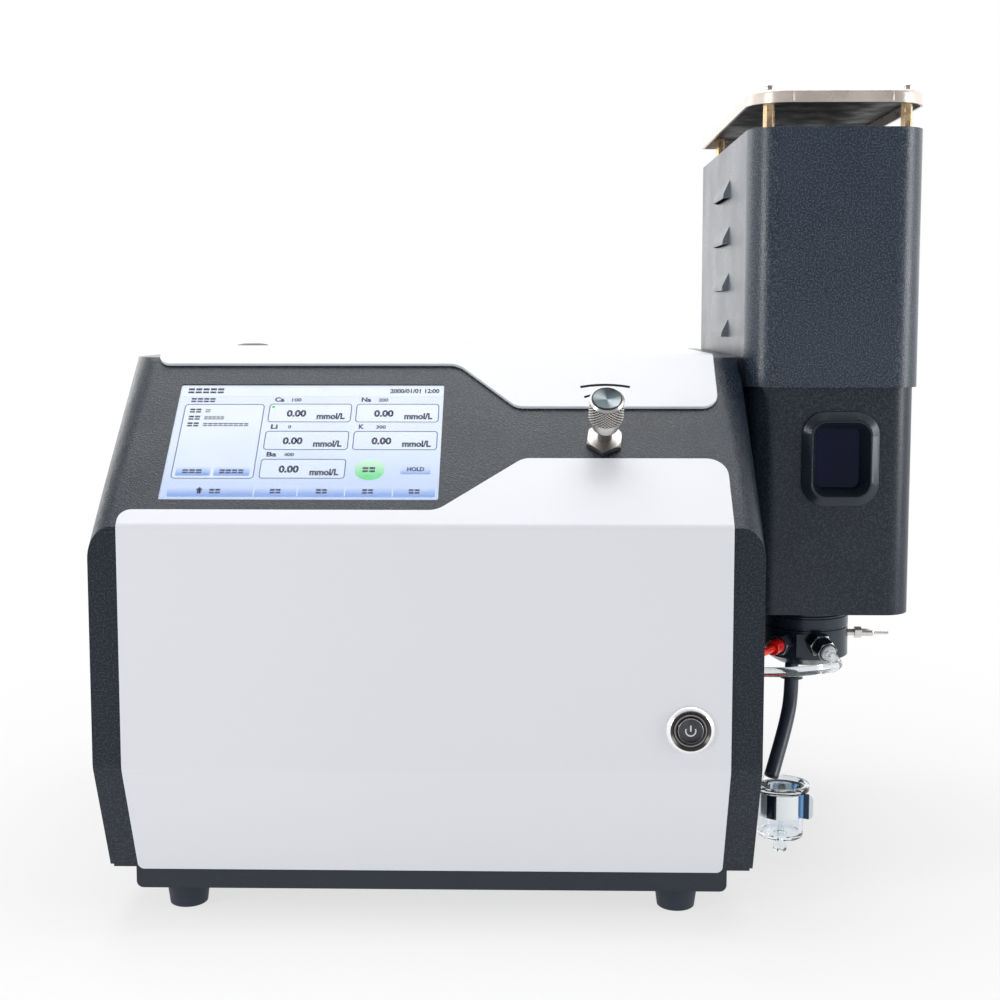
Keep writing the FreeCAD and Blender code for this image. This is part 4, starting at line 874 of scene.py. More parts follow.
    def soften(self, width: float, segments: int = 2, angle: float = 40.0) -> "Workpiece":
        """Rounds the sharp edges.

        Args:
            width: of the rounding in millimetres.
            segments: facets across it.
            angle: degrees above which an edge is sharp.

        Returns:
            This piece.
        """
        self.hold()
        bpy.ops.object.modifier_add(type="BEVEL")
        bevel = self.obj.modifiers[-1]
        bevel.width, bevel.segments = width * MM, segments
        bevel.limit_method, bevel.angle_limit = "ANGLE", math.radians(angle)
        bpy.ops.object.modifier_apply(modifier=bevel.name)
        return self

    def place(self, matrix: Matrix) -> "Workpiece":
        """Moves the mesh to its place and leaves the object at the origin.

        Args:
            matrix: from the piece's own axes to the instrument's.

        Returns:
            This piece.
        """
        self.hold()
        self.obj.matrix_world = matrix @ self.obj.matrix_world
        bpy.ops.object.transform_apply(location=True, rotation=True, scale=True)
        return self

    def joined(self, *others: "Workpiece") -> "Workpiece":
        """Takes other pieces into this one.

        Args:
            others: the pieces, which are then gone.

        Returns:
            This piece.
        """
        self.hold()
        for other in others:
            other.obj.select_set(True)
        bpy.ops.object.join()
        return self

    def dress(self, finish: Finish, where: Optional[FaceTest] = None) -> "Workpiece":
        """Gives the piece a finish, or only some of its faces.

        Args:
            finish: the finish.
            where: given a face's middle and normal, says whether it takes the finish.

        Returns:
            This piece.
        """
        self.obj.data.materials.append(finish.material())
        index = len(self.obj.data.materials) - 1
        for face in self.obj.data.polygons:
            if where is None or where(face.center, face.normal):
                face.material_index = index
        return self

    def fit(self, body: Body, slot: Slot, *nodes: str, angle: float = 32.0) -> bpy.types.Object:
        """Smooths the finished piece and puts it on its body.

        Args:
            body: the body that it rides on.
            slot: the record's material slot; not used.
            nodes: the solids that it stands for.
            angle: degrees below which an edge is shaded smooth.

        Returns:
            The finished object.
        """
        self.hold()
        bpy.ops.object.shade_smooth_by_angle(angle=math.radians(angle))
        bpy.ops.object.modifier_add(type="WEIGHTED_NORMAL")
        weighed = self.obj.modifiers[-1]
        weighed.keep_sharp = True
        bpy.ops.object.modifier_apply(modifier=weighed.name)
        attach(self.obj, body.value)
        if nodes:
            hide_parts(*nodes)
        LOG.info("%s on %s: %d faces", self.obj.name, body.value, len(self.obj.data.polygons))
        return self.obj


def stand_in(node: str, name: str, width: float, finish: Finish, slot: Slot, body: Body = Body.CONSOLE,
             segments: int = 2) -> bpy.types.Object:
    """Puts a softened, dressed copy of a solid in the solid's place.

    Args:
        node: the solid's name.
        name: the new piece's name.
        width: of the rounding on its edges, in millimetres.
        finish: its finish.
        slot: the record's material slot.
        body: the body that it rides on.
        segments: facets across the rounding.

    Returns:
        The finished object.
    """
    return Workpiece.copy_of(node, name).soften(width, segments).dress(finish).fit(body, slot, node)


# ---------------------------------------------------------------- studio
@dataclass(frozen=True)
class Softbox:
    """A rectangular lamp, with lengths in millimetres and a level of 1 for white."""

    name: str
    place: Point
    size: Span
    target: Point
    level: float
    mirrored: bool = True

    def hang(self) -> None:
        """Hangs the lamp so that it faces its target."""
        Workpiece.clear_bench()
        aim = (Vector(self.target) - Vector(self.place)).to_track_quat("-Z", "Y")
        bpy.ops.object.light_add(type="AREA", location=Vector(self.place) * MM, rotation=aim.to_euler())
        lamp = bpy.context.object
        lamp.name = self.name
        lamp.data.shape = "RECTANGLE"
        lamp.data.size, lamp.data.size_y = self.size[0] * MM, self.size[1] * MM
        lamp.visible_glossy = self.mirrored
        lamp.data.energy = self.level * math.pi * self.size[0] * self.size[1] * MM * MM


SOFTBOXES = (
    Softbox("overhead_softbox", (0.0, 120.0, 1550.0), (1500.0, 1200.0), (0.0, 20.0, 0.0), 3.0),
    Softbox("front_softbox", (-250.0, -1900.0, 1250.0), (1700.0, 900.0), (0.0, 0.0, 200.0), 0.42,
            mirrored=False),
    Softbox("left_strip", (-1310.0, -1000.0, 500.0), (250.0, 700.0), (137.0, -93.0, 350.0), 14.0),
    Softbox("rear_left_softbox", (-1400.0, 1150.0, 900.0), (900.0, 900.0), (-240.0, 0.0, 280.0), 1.2),
    Softbox("right_softbox", (1560.0, -620.0, 450.0), (500.0, 700.0), (225.0, -95.0, 350.0), 8.0),
)


@dataclass
class Studio:
    """Camera, floor, world and soft lamps."""

    camera_place: Point = (1.97, -978.99, 347.36)
    pitch: float = 0.0928183
    yaw: float = 0.0199026
    focal_length: float = 52.98
    sensor: float = 36.0
    shift: Span = (-0.0017, -0.0479)
    near: float = 20.0
    bench_radius: float = 9000.0
    bench_drop: float = 0.3
    bench_colour: Rgba = (0.93, 0.93, 0.935, 1.0)
    bench_fade: Span = (300.0, 750.0)
    room_light: float = 0.35
    room_depth: Span = (-0.75, 0.1)
    room_mirrored: Span = (0.07, 1.5)

    def build(self) -> None:
        """Sets the camera up first and then the light."""
        self.add_camera()
        self.add_floor()
        self.add_world()
        for softbox in SOFTBOXES:
            softbox.hang()
        bpy.context.scene.view_settings.view_transform = "Standard"
        LOG.info("studio ready")

    def add_camera(self) -> None:
        """Puts the camera in front of the console, a little above its middle."""
        Workpiece.clear_bench()
        bpy.ops.object.camera_add(location=Vector(self.camera_place) * MM,
                                  rotation=(math.pi / 2 - self.pitch, 0.0, self.yaw))
        camera = bpy.context.object
        camera.name = "front_camera"
        camera.data.sensor_width = self.sensor
        camera.data.lens = self.focal_length
        camera.data.shift_x, camera.data.shift_y = self.shift
        camera.data.clip_start = self.near * MM
        bpy.context.scene.camera = camera

    def add_floor(self) -> None:
        """Lays a pale bench that fades to white away from the instrument."""
        Workpiece.clear_bench()
        bpy.ops.mesh.primitive_circle_add(vertices=96, radius=self.bench_radius * MM, fill_type="NGON",
                                          location=(0.0, 0.0, -self.bench_drop * MM))
        floor = Workpiece(bpy.context.object, "bench_top").place(Matrix.Identity(4))
        wiring = Wiring("bench_white")
        wiring.set("Base Color", self.bench_colour)
        wiring.set("Roughness", 0.7)
        wiring.set("Specular IOR Level", 0.1)
        distance = wiring.node("ShaderNodeVectorMath", operation="LENGTH")
        wiring.feed(distance.inputs[0], wiring.place)
        glow = wiring.node("ShaderNodeEmission")
        wiring.feed(glow.inputs["Strength"], 1.0)
        blend = wiring.node("ShaderNodeMixShader")
        fade = tuple(value * MM for value in self.bench_fade)
        wiring.feed(blend.inputs[0], wiring.spread(distance.outputs["Value"], fade, (0.7, 1.0)))
        wiring.feed(blend.inputs[1], wiring.shader.outputs[0])
        wiring.feed(blend.inputs[2], glow.outputs[0])
        wiring.feed(wiring.output.inputs["Surface"], blend.outputs[0])
        floor.obj.data.materials.append(wiring.material)

    def add_world(self) -> None:
        """Makes a white room that is dimmer behind the camera for reflections."""
        world = bpy.data.worlds.new("white_room")
        bpy.context.scene.world = world
        world.use_nodes = True
        bench = NodeBench(world.node_tree)
        parts = bench.node("ShaderNodeSeparateXYZ")
        bench.feed(parts.inputs[0], bench.node("ShaderNodeTexCoord").outputs["Generated"])
        mirrored = bench.spread(parts.outputs["Y"], self.room_depth, self.room_mirrored)
        ray = bench.node("ShaderNodeLightPath")
        level = bench.mix(ray.outputs["Is Glossy Ray"], self.room_light, mirrored, colours=False)
        level = bench.mix(ray.outputs["Is Transmission Ray"], level, 1.0, colours=False)
        level = bench.mix(ray.outputs["Is Camera Ray"], level, 1.0, colours=False)
        background = bench.node("ShaderNodeBackground")
        bench.feed(background.inputs["Color"], (1.0, 1.0, 1.0, 1.0))
        bench.feed(background.inputs["Strength"], level)
        bench.feed(bench.node("ShaderNodeOutputWorld").inputs["Surface"], background.outputs[0])


# ---------------------------------------------------------------- hoses
@dataclass
class Hose:
    """One short hose, with the corners of its route in metres."""

    name: str
    node: str
    diameter: float
    length: float
    stiffness: str
    finish: Finish
    slot: Slot
    route: Sequence[Point]

    def build(self) -> bpy.types.Object:
        """Draws the hose as one smooth line with a round section.

        Returns:
            The hose's curve object.
        """
        curve = bpy.data.curves.new(self.name, "CURVE")
        curve.dimensions = "3D"
        curve.bevel_depth = self.diameter / 2
        curve.bevel_resolution = 8
        curve.resolution_u = 16
        curve.use_fill_caps = True
        spline = curve.splines.new("NURBS")
        spline.points.add(len(self.route) - 1)
        for point, place in zip(spline.points, self.route):
            point.co = (*place, 1.0)
        spline.order_u = 3
        spline.use_endpoint_u = True
        hose = bpy.data.objects.new(self.name, curve)
        bpy.context.scene.collection.objects.link(hose)
        curve.materials.append(self.finish.material())
        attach(hose, Body.CONSOLE.value)
        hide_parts(self.node)
        LOG.info("%s: %.1f mm long", self.name, self.length / MM)
        return hose


def build_hoses() -> None:
    """Draws the drain hose, the clear air hose and the red fuel hose."""
    Hose("drain_line", "drain_hose", 0.0094, 0.0677, "medium", HOSE_RUBBER, Slot.RUBBER, (
        (0.1742, -0.022, 0.1089), (0.1739, -0.023, 0.0957), (0.1701, -0.029, 0.0811),
        (0.164, -0.0395, 0.0668), (0.1574, -0.0495, 0.0512))).build()
    Hose("air_line", "air_hose", 0.006, 0.0931, "medium", HOSE_CLEAR, Slot.CLEAR_TUBE, (
        (0.191, -0.0594, 0.1339), (0.1942, -0.0704, 0.1312), (0.1914, -0.082, 0.1312),
        (0.1825, -0.092, 0.132), (0.1694, -0.0968, 0.132), (0.1557, -0.0955, 0.1306),
        (0.1422, -0.0895, 0.1294), (0.1275, -0.0895, 0.1294))).build()
    Hose("fuel_line", "fuel_hose", 0.005, 0.0347, "medium", RED_HOSE, Slot.RED_PLASTIC, (
        (0.1553, -0.0563, 0.1364), (0.1483, -0.0672, 0.1361), (0.1386, -0.0726, 0.1358),
        (0.1275, -0.0726, 0.1358))).build()


# ---------------------------------------------------------------- console
@dataclass
class Console:
    """Outer case: shell, light covers, tray, feet, rear sheet and printed marks."""

    cover_out: float = 2.2
    ink: float = 0.03
    arc_radius: float = 60.0
    arc_width: float = 1.8
    arc_sweep: float = 28.0
    arc_offset: Span = (1.5, -18.6)
    sign_offset: Span = (8.8, 32.3)
    sign_half: float = 2.3
    stroke_half: float = 0.8
    sign_tilt: float = 21.0

    def build(self) -> None:
        """Makes every piece of the case."""
        stand_in("outer_shell", "console_shell", 0.7, CASE_COAT, Slot.BLACK_COAT)
        stand_in("front_panel", "front_sheet", 0.45, WHITE_ENAMEL, Slot.WHITE_COAT)
        stand_in("top_cover", "top_sheet", 0.45, WHITE_ENAMEL, Slot.WHITE_COAT)
        stand_in("base_tray", "bottom_tray", 0.4, TRAY_COAT, Slot.BLACK_COAT)
        stand_in("rubber_feet", "moulded_feet", 0.5, FOOT_RUBBER, Slot.RUBBER, segments=3)
        stand_in("rear_panel", "rear_sheet", 0.3, CASE_COAT, Slot.BLACK_COAT)
        stand_in("case_screws", "cap_screws", 0.15, STAINLESS, Slot.STAINLESS)
        self.add_marks()

    def add_marks(self) -> None:
        """Prints a turning arc with its two signs above the tuning knob."""
        arc = Workpiece.arc("tuning_marks", self.arc_radius, self.arc_width, self.ink,
                            90.0 - self.arc_sweep / 2, self.arc_sweep)
        across, up = self.arc_offset
        arc.place(slope_place(KNOB_X + across, KNOB_UP + up, self.cover_out))
        across, up = self.sign_offset
        strokes = ((self.sign_half, self.stroke_half), (self.stroke_half, self.sign_half))
        signs = []
        for side, count in ((-1, 1), (1, 2)):
            place = slope_place(KNOB_X + across * side, KNOB_UP + up, self.cover_out)
            place = place @ Matrix.Rotation(math.radians(-self.sign_tilt * side), 4, "Z")
            for index, (half_width, half_height) in enumerate(strokes[:count]):
                box = (-half_width, -half_height, half_width, half_height)
                signs.append(Workpiece.plate("sign", box, 0.2, self.ink * (1.0 - 0.1 * index)).place(place))
        arc.joined(*signs).dress(MARK_INK).fit(Body.CONSOLE, Slot.BLACK_PLASTIC)


# ---------------------------------------------------------------- display
@dataclass
class Display:
    """Touch pane with the lit picture behind it."""

    left: float = -204.0
    low: float = 20.0
    width: float = 154.1
    height: float = 85.9
    picture_out: float = -2.06
    layer: float = 0.03
    thickness: float = 0.024
    margin: float = 2.0
    pane_width: float = 165.0
    pane_height: float = 100.0
    pane_thickness: float = 0.8
    pane_out: float = -1.8
    outline: float = 0.55
    light_type: float = 0.04
    block_share: float = 0.82
    block_gap: Span = (0.36, 0.58)

    def build(self) -> None:
        """Makes the pane and the picture."""
        middle = slope_place(self.left + self.width / 2, self.low + self.height / 2, self.pane_out)
        half_width, half_height = self.pane_width / 2, self.pane_height / 2
        pane = Workpiece.plate("touch_pane", (-half_width, -half_height, half_width, half_height), 1.5,
                               self.pane_thickness)
        pane.soften(0.12).place(middle).dress(PANE)
        pane.fit(Body.CONSOLE, Slot.COVER_GLASS, "touch_glass")
        self.build_picture()

    def at(self, layer: int) -> Matrix:
        """Gives the place of the picture's lower left corner on one of its layers."""
        return slope_place(self.left, self.low, self.picture_out + layer * self.layer)

    def panel(self, box: Box, corner: float, layer: int, finish: Finish,
              frame_width: float = 0.0) -> Workpiece:
        """Draws one flat shape of the picture.

        Args:
            box: left, low, right and high edges on the screen.
            corner: the corners' radius.
            layer: how many layers above the backdrop.
            finish: its light.
            frame_width: where above 0, only an outline of that width.

        Returns:
            The shape.
        """
        shape = Workpiece.plate("shape", box, corner, self.thickness, frame_width)
        return shape.place(self.at(layer)).dress(finish)

    def card(self, box: Box, corner: float) -> list[Workpiece]:
        """Draws a white card and its outline."""
        return [self.panel(box, corner, 1, SCREEN_WHITE),
                self.panel(box, corner, 2, SCREEN_EDGE, self.outline)]

    def words(self, text: str, box: Box, layer: int, finish: Finish, weight: float = 0.045) -> Workpiece:
        """Writes words on the picture, filling a box."""
        letters = Workpiece.lettering("words", text, box, self.thickness, weight)
        return letters.place(self.at(layer)).dress(finish)

    def blocks(self, box: Box, count: int, layer: int, finish: Finish = SCREEN_INK) -> list[Workpiece]:
        """Draws a word as a row of plain blocks.

        Args:
            box: left, low, right and high edges of the row.
            count: how many blocks.
            layer: how many layers above the backdrop.
            finish: their light.

        Returns:
            The blocks.
        """
        x0, y0, x1, y1 = box
        step = (x1 - x0) / count
        gap_low, gap_high = (y0 + (y1 - y0) * share for share in self.block_gap)
        rows = []
        for index in range(count):
            left = x0 + index * step
            right = left + step * self.block_share
            for low, high in ((gap_high, y1), (y0, gap_low)):
                rows.append(self.panel((left, low, right, high), 0.1, layer, finish))
        return rows

    def build_picture(self) -> None:
        """Lays out the readings, buttons and bars and joins them into one picture."""
        edges = (-self.margin, -self.margin, self.width + self.margin, self.height + self.margin)
        backdrop = Workpiece.plate("screen_picture", edges, 0.0, self.thickness)
        backdrop.place(self.at(0)).dress(SCREEN_BACK)
        parts = [
            self.panel((0.0, 78.6, self.width, self.height + 1.0), 0.0, 1, SCREEN_WHITE),
            self.panel((0.0, 78.3, self.width, 78.6), 0.0, 1, SCREEN_BLUE),
            self.words("2000/01/01 12:00", (123.0, 81.2, 152.0, 84.7), 3, SCREEN_INK, self.light_type),
            *self.card((3.3, 15.6, 50.2, 72.4), 2.4),
            self.panel((5.7, 17.7, 25.2, 24.0), 0.8, 3, SCREEN_BLUE),
            self.panel((27.3, 17.7, 47.6, 24.0), 0.8, 3, SCREEN_BLUE),
            self.panel((132.7, 19.0, 149.6, 25.3), 0.8, 3, SCREEN_BLUE),
            self.words("HOLD", (136.3, 21.3, 146.0, 24.3), 4, SCREEN_INK),
            self.panel((106.7, 14.8, 123.7, 30.2), 7.6, 3, SCREEN_GREEN),
            self.panel((3.2, 2.5, 152.7, 10.6), 1.0, 2, SCREEN_BAR),
        ]
        for box, count, layer in (((3.5, 81.0, 25.3, 85.0), 5, 3), ((6.4, 73.9, 21.1, 77.2), 4, 3),
                                  ((9.4, 19.5, 21.0, 22.4), 3, 4), ((30.4, 19.5, 44.6, 22.4), 4, 4),
                                  ((111.2, 20.6, 119.0, 24.2), 2, 4)):
            parts += self.blocks(box, count, layer)
        for y, right, count in ((65.6, 18.8, 3), (60.0, 27.8, 5), (54.8, 42.8, 9)):
            parts += self.blocks((6.8, y, 14.0, y + 3.1), 2, 3)
            parts += self.blocks((16.0, y + 0.3, right, y + 2.7), count, 3, SCREEN_GREY)
        for x in (51.6, 75.9, 102.5, 129.1):
            parts.append(self.panel((x - 0.3, 2.9, x + 0.3, 10.2), 0.0, 3, SCREEN_WHITE))
        for x in (26.7, 60.6, 86.4, 112.2, 138.1):
            parts += self.blocks((x, 5.0, x + 6.6, 8.2), 2, 4)
        parts += [self.panel((19.9, 4.8, 22.1, 7.2), 0.0, 4, SCREEN_INK), self.roof()]
        for reading in (("Ca", 5.7, "100", 53.0, 58.2, 74.2), ("Na", 5.7, "200", 104.0, 58.2, 74.2),
                        ("Li", 4.0, "0", 53.0, 37.0, 53.0), ("K", 3.0, "300", 104.0, 37.0, 53.0),
                        ("Ba", 5.7, "400", 53.0, 15.8, 31.9)):
            parts += self.reading(*reading)
        parts.append(self.panel((54.5, 69.2, 56.3, 71.0), 0.85, 4, SCREEN_LAMP))
        backdrop.joined(*parts).fit(Body.CONSOLE, Slot.DISPLAY)

    def reading(self, symbol: str, wide: float, count: str, left: float, low: float,
                label: float) -> list[Workpiece]:
        """Lays out one reading: its card, amount and unit, and the line above the card.

        Args:
            symbol: the element's.
            wide: width of the symbol.
            count: the plain count beside it.
            left: the card's left edge.
            low: the card's lower edge.
            label: the lower edge of the line above.

        Returns:
            The reading's shapes.
        """
        right = left + 12.6 + 1.9 * len(count)
        return [
            *self.card((left, low, left + 48.5, low + 14.5), 2.2),
            self.words("0.00", (left + 10.7, low + 4.2, left + 22.1, low + 9.6), 3, SCREEN_INK),
            self.words("mmol/L", (left + 28.4, low + 2.3, left + 44.8, low + 7.2), 3, SCREEN_INK),
            self.words(symbol, (left + 2.6, label, left + 2.6 + wide, label + 3.6), 3, SCREEN_INK,
                       self.light_type),
            self.words(count, (left + 12.6, label + 0.2, right, label + 2.9), 3, SCREEN_GREY),
        ]

    def roof(self) -> Workpiece:
        """Draws the roof of the small house on the bottom bar.

        Returns:
            A flat triangle.
        """
        Workpiece.clear_bench()
        bpy.ops.mesh.primitive_circle_add(vertices=3, radius=2.5 * MM, fill_type="NGON")
        roof = Workpiece(bpy.context.object, "roof")
        with roof.at_work():
            bpy.ops.mesh.select_all(action="SELECT")
            roof.pull_up(self.thickness)
            roof.face_out()
        flat = 0.65
        eaves = 7.2 * MM - min(vertex.co.y for vertex in roof.obj.data.vertices) * flat
        squash = Matrix.Diagonal((1.0, flat, 1.0, 1.0))
        return roof.place(self.at(4) @ Matrix.Translation((21.0 * MM, eaves, 0)) @ squash).dress(SCREEN_INK)


# ---------------------------------------------------------------- fine-tuning valve
@dataclass
class TuningValve:
    """Hexagon nut, neck and the knurled knob on its needle."""

    grip_low: float = 20.8
    grip_high: float = 33.4
    top: float = 35.6
    radius: float = 10.0
    depth: float = 0.6
    columns: int = 60
    rows: int = 12
    foot: float = 12.4
    bore: float = 7.0
    face_low: float = 34.0

    def build(self) -> None:
        """Makes the nut, the neck, the knob and its set screw."""
        stand_in("valve_nut", "hexagon_nut", 0.3, NICKEL, Slot.NICKEL)
        stand_in("valve_body", "valve_neck", 0.2, NICKEL, Slot.NICKEL)
        self.build_knob()
        stand_in("knob_set_screw", "grub_screw", 0.1, ANODISED, Slot.BLACK_COAT, Body.TUNING_KNOB)

    def build_knob(self) -> None:
        """Turns the knob and presses a diamond pattern into its grip."""
        step = (self.grip_high - self.grip_low) / self.rows
        profile = [(4.6, self.foot), (7.2, self.foot), (7.6, 12.8), (7.6, 15.4), (8.1, 15.6), (8.6, 16.1),
                   (8.6, 20.0), (8.4, 20.2), (self.radius, self.grip_low)]
        profile += [(self.radius, self.grip_low + step * row) for row in range(1, self.rows + 1)]
        profile += [(9.8, 33.8), (8.6, 34.9), (8.45, 34.6), (8.1, 34.6), (7.95, 35.3), (7.7, self.top),
                    (7.3, 35.4), (4.0, 34.9), (0.8, 34.5)]
        knob = Workpiece.turned("knurled_knob", profile, self.columns)
        with knob.at_work():
            knob.pick(between(outer=0.1, high=self.foot + 0.1))
            knob.pull_up(self.bore)
            bpy.ops.mesh.select_mode(type="VERT")
            bpy.ops.mesh.select_all(action="DESELECT")
            knob.pick_points(lambda place: self.in_groove(place, step))
            shrink = 1.0 - self.depth / self.radius
            bpy.ops.transform.resize(value=(shrink, shrink, 1), center_override=(0, 0, 0))
            bpy.ops.mesh.select_mode(type="FACE")
            knob.pick(between(inner=9.0, low=self.grip_low, high=self.grip_high))
            bpy.ops.mesh.quads_convert_to_tris(quad_method="SHORTEST_DIAGONAL")
            knob.face_out()
        knob.dress(SATIN)
        knob.dress(KNURLED, between(inner=9.2, low=self.grip_low, high=self.grip_high + 0.05))
        knob.dress(KNOB_DISH, between(outer=7.9, low=self.face_low))
        # Painted shade: dark plastic in the groove between the dish and the chamfer.
        knob.dress(DARK_PLASTIC, between(7.97, 8.5, low=self.face_low))
        knob.place(slope_place(KNOB_X, KNOB_UP))
        knob.fit(Body.TUNING_KNOB, Slot.NICKEL, "fine_knob", angle=24.0)

    def in_groove(self, place: Vector, step: float) -> bool:
        """Says whether a point of the grip lies where two grooves cross.

        Args:
            place: the point, on the knob's own axes.
            step: height of one row.

        Returns:
            True for every second point, as on a chequered board.
        """
        row = (place.z / MM - self.grip_low) / step
        if not -0.1 < row < self.rows + 0.1 or place.xy.length < 9.3 * MM:
            return False
        column = math.atan2(place.y, place.x) / (2 * math.pi) * self.columns
        return (round(row) + round(column)) % 2 == 0


# ---------------------------------------------------------------- power button
@dataclass
class PowerButton:
    """Chrome bezel, dark ring and the dished cap with its symbol."""

    block_depth: float = 8.0
    symbol_out: float = 1.46
    symbol_height: float = 0.12

    def build(self) -> None:
        """Makes the bezel, the ring, the cap and the symbol."""
        place = front_place(*BUTTON_MIDDLE)
        bezel = Workpiece.turned("chrome_bezel", [
            (9.6, -26), (11, -26), (11, 0), (13.2, 0), (13.2, 0.5), (13.05, 0.9), (11.6, 2.25), (11.2, 2.4),
            (9.6, 1.2), (9.6, -26)], ring=True)
        # The bezel's chrome colour is a painted reflection.
        bezel.dress(BEZEL_CHROME).dress(BUTTON_RING, between(outer=11.1))
        bezel.place(place).fit(Body.CONSOLE, Slot.CHROME, "button_bezel", angle=28)
        ring = Workpiece.copy_of("switch_block", "switch_ring").soften(0.15).dress(DARK_PLASTIC)
        ring.dress(BUTTON_RING, lambda middle, normal: middle.y < (BUTTON_MIDDLE[1] + self.block_depth) * MM)
        line = Workpiece.turned("ring_line", [(8.3, 1.1), (9.0, 1.1), (8.85, 1.34), (8.45, 1.34), (8.3, 1.1)],
                                ring=True)
        line.dress(RING_LINE).place(place)
        ring.joined(line).fit(Body.CONSOLE, Slot.BLACK_PLASTIC, "switch_block")
        cap = Workpiece.turned("dished_cap", [
            (7.2, -9), (7.2, 1.6), (7.1, 1.95), (6.9, 2.1), (6.65, 2.0), (6.2, 1.7), (3.5, 1.45), (0.5, 1.4)])
        cap.dress(CAP_BLACK).dress(RING_LINE, between(inner=6.6, low=1.5))
        cap.place(place).fit(Body.BUTTON, Slot.GLOSS_BLACK, "button_cap", angle=40)
        lift = Matrix.Translation((0, 0, self.symbol_out * MM))
        arc = Workpiece.arc("power_symbol", 2.75, 0.7, self.symbol_height, 155.0, 230.0).place(lift)
        bar = Workpiece.plate("bar", (-0.4, -0.3, 0.4, 3.1), 0.0, self.symbol_height).place(lift)
        arc.joined(bar).place(place).dress(SYMBOL).fit(Body.BUTTON, Slot.GLOSS_BLACK)


# ---------------------------------------------------------------- burner tower
@dataclass
class BurnerTower:
    """Spacer, lower housing with its window, lift-off sleeve and heat shield."""

    shield_low: float = 471.6
    bead_columns: Span = (155.5, 213.5)
    bead_front: float = -99.5

    def build(self) -> None:
        """Makes every piece of the tower."""
        stand_in("tower_bracket", "spacer_plate", 0.3, HOUSING_COAT, Slot.BLACK_COAT)
        stand_in("burner_housing", "lower_housing", 0.3, HOUSING_COAT, Slot.BLACK_COAT)
        stand_in("window_bezel", "window_frame", 0.35, BEZEL_BLACK, Slot.BLACK_ANODISED, segments=3)
        stand_in("window_glass", "cobalt_window", 0.3, COBALT, Slot.COBALT_GLASS)
        stand_in("chimney_sleeve", "louvred_sleeve", 0.3, SLEEVE_COAT, Slot.BLACK_COAT, Body.CHIMNEY)
        self.build_shield()
        stand_in("shield_standoffs", "brass_pillars", 0.2, BRASS, Slot.BRASS, Body.CHIMNEY)
        stand_in("shield_screws", "cross_screws", 0.2, SATIN, Slot.STAINLESS, Body.CHIMNEY)

    def build_shield(self) -> None:
        """Dresses the shield in ground steel, sooty below, with beads of weld on its rim."""
        shield = Workpiece.copy_of("heat_shield", "steel_shield").soften(0.25)
        beads = []
        for x in self.bead_columns:
            bead = Workpiece.turned("bead", [(0.2, 0), (0.55, 0.4), (0.6, 3.0), (0.5, 5.4), (0.2, 6.2)], 12)
            low = self.shield_low + 0.2
            beads.append(bead.place(Matrix.Translation((x * MM, self.bead_front * MM, low * MM))))
        shield.joined(*beads).dress(GROUND_STEEL).dress(SHIELD_TOP, lambda middle, normal: normal.z > 0.9)
        soot = (self.shield_low + 1) * MM
        shield.dress(SOOTY_STEEL, lambda middle, normal: normal.z < -0.5 and middle.z > soot)
        shield.fit(Body.CHIMNEY, Slot.SCORCHED, "heat_shield")


# ---------------------------------------------------------------- burner plumbing
@dataclass(frozen=True)
class Fitting:
    """A hexagonal fitting in black, with another finish on its outer end.

    The root is in millimetres, the direction is its axis outwards, and the end begins a distance
    in millimetres along it.
    """

    node: str
    name: str
    root: Point
    direction: Point
    end_start: float
    end: Finish
    edge_highlight_span: Span = (0.15, 0.93)

    def build(self) -> None:
        """Dresses the fitting's body, a painted highlight on its bevelled edges, and its end."""
        root, axis = Vector(self.root) * MM, Vector(self.direction)
        low, high = self.edge_highlight_span
        piece = Workpiece.copy_of(self.node, self.name).soften(0.35).dress(ANODISED)
        # Painted highlight: light metal on the bevels that lean between the ends and the sides.
        piece.dress(EDGE_HIGHLIGHT_ANODISED, lambda middle, normal: low < abs(normal.dot(axis)) < high)
        piece.dress(self.end, lambda middle, normal: (middle - root).dot(axis) > self.end_start * MM)
        piece.fit(Body.CONSOLE, Slot.BLACK_ANODISED, self.node)


@dataclass
class Plumbing:
    """Mixing chamber with its fittings, nebulizer and the grommets of its hoses."""

    fuel: Fitting = Fitting("fuel_fitting", "fuel_connector", (168.806, -35.27, 136.979),
                            (-0.5402, -0.8412, -0.0232), 16.05, RED_PLASTIC)
    air: Fitting = Fitting("air_fitting", "air_connector", (186.052, -42.39, 138.075),
                           (0.2719, -0.9346, -0.2294), 16.5, TUBE_FACE)

    def build(self) -> None:
        """Makes every piece of the burner's plumbing."""
        stand_in("mixing_chamber", "spray_chamber", 0.3, ANODISED, Slot.BLACK_ANODISED)
        self.fuel.build()
        self.air.build()
        stand_in("nebulizer_body", "nebulizer_nut", 0.2, SATIN, Slot.STAINLESS)
        stand_in("nebulizer_capillary", "sample_tube", 0.1, SATIN, Slot.STAINLESS)
        stand_in("hose_grommets", "rubber_grommets", 0.4, HOSE_RUBBER, Slot.RUBBER)


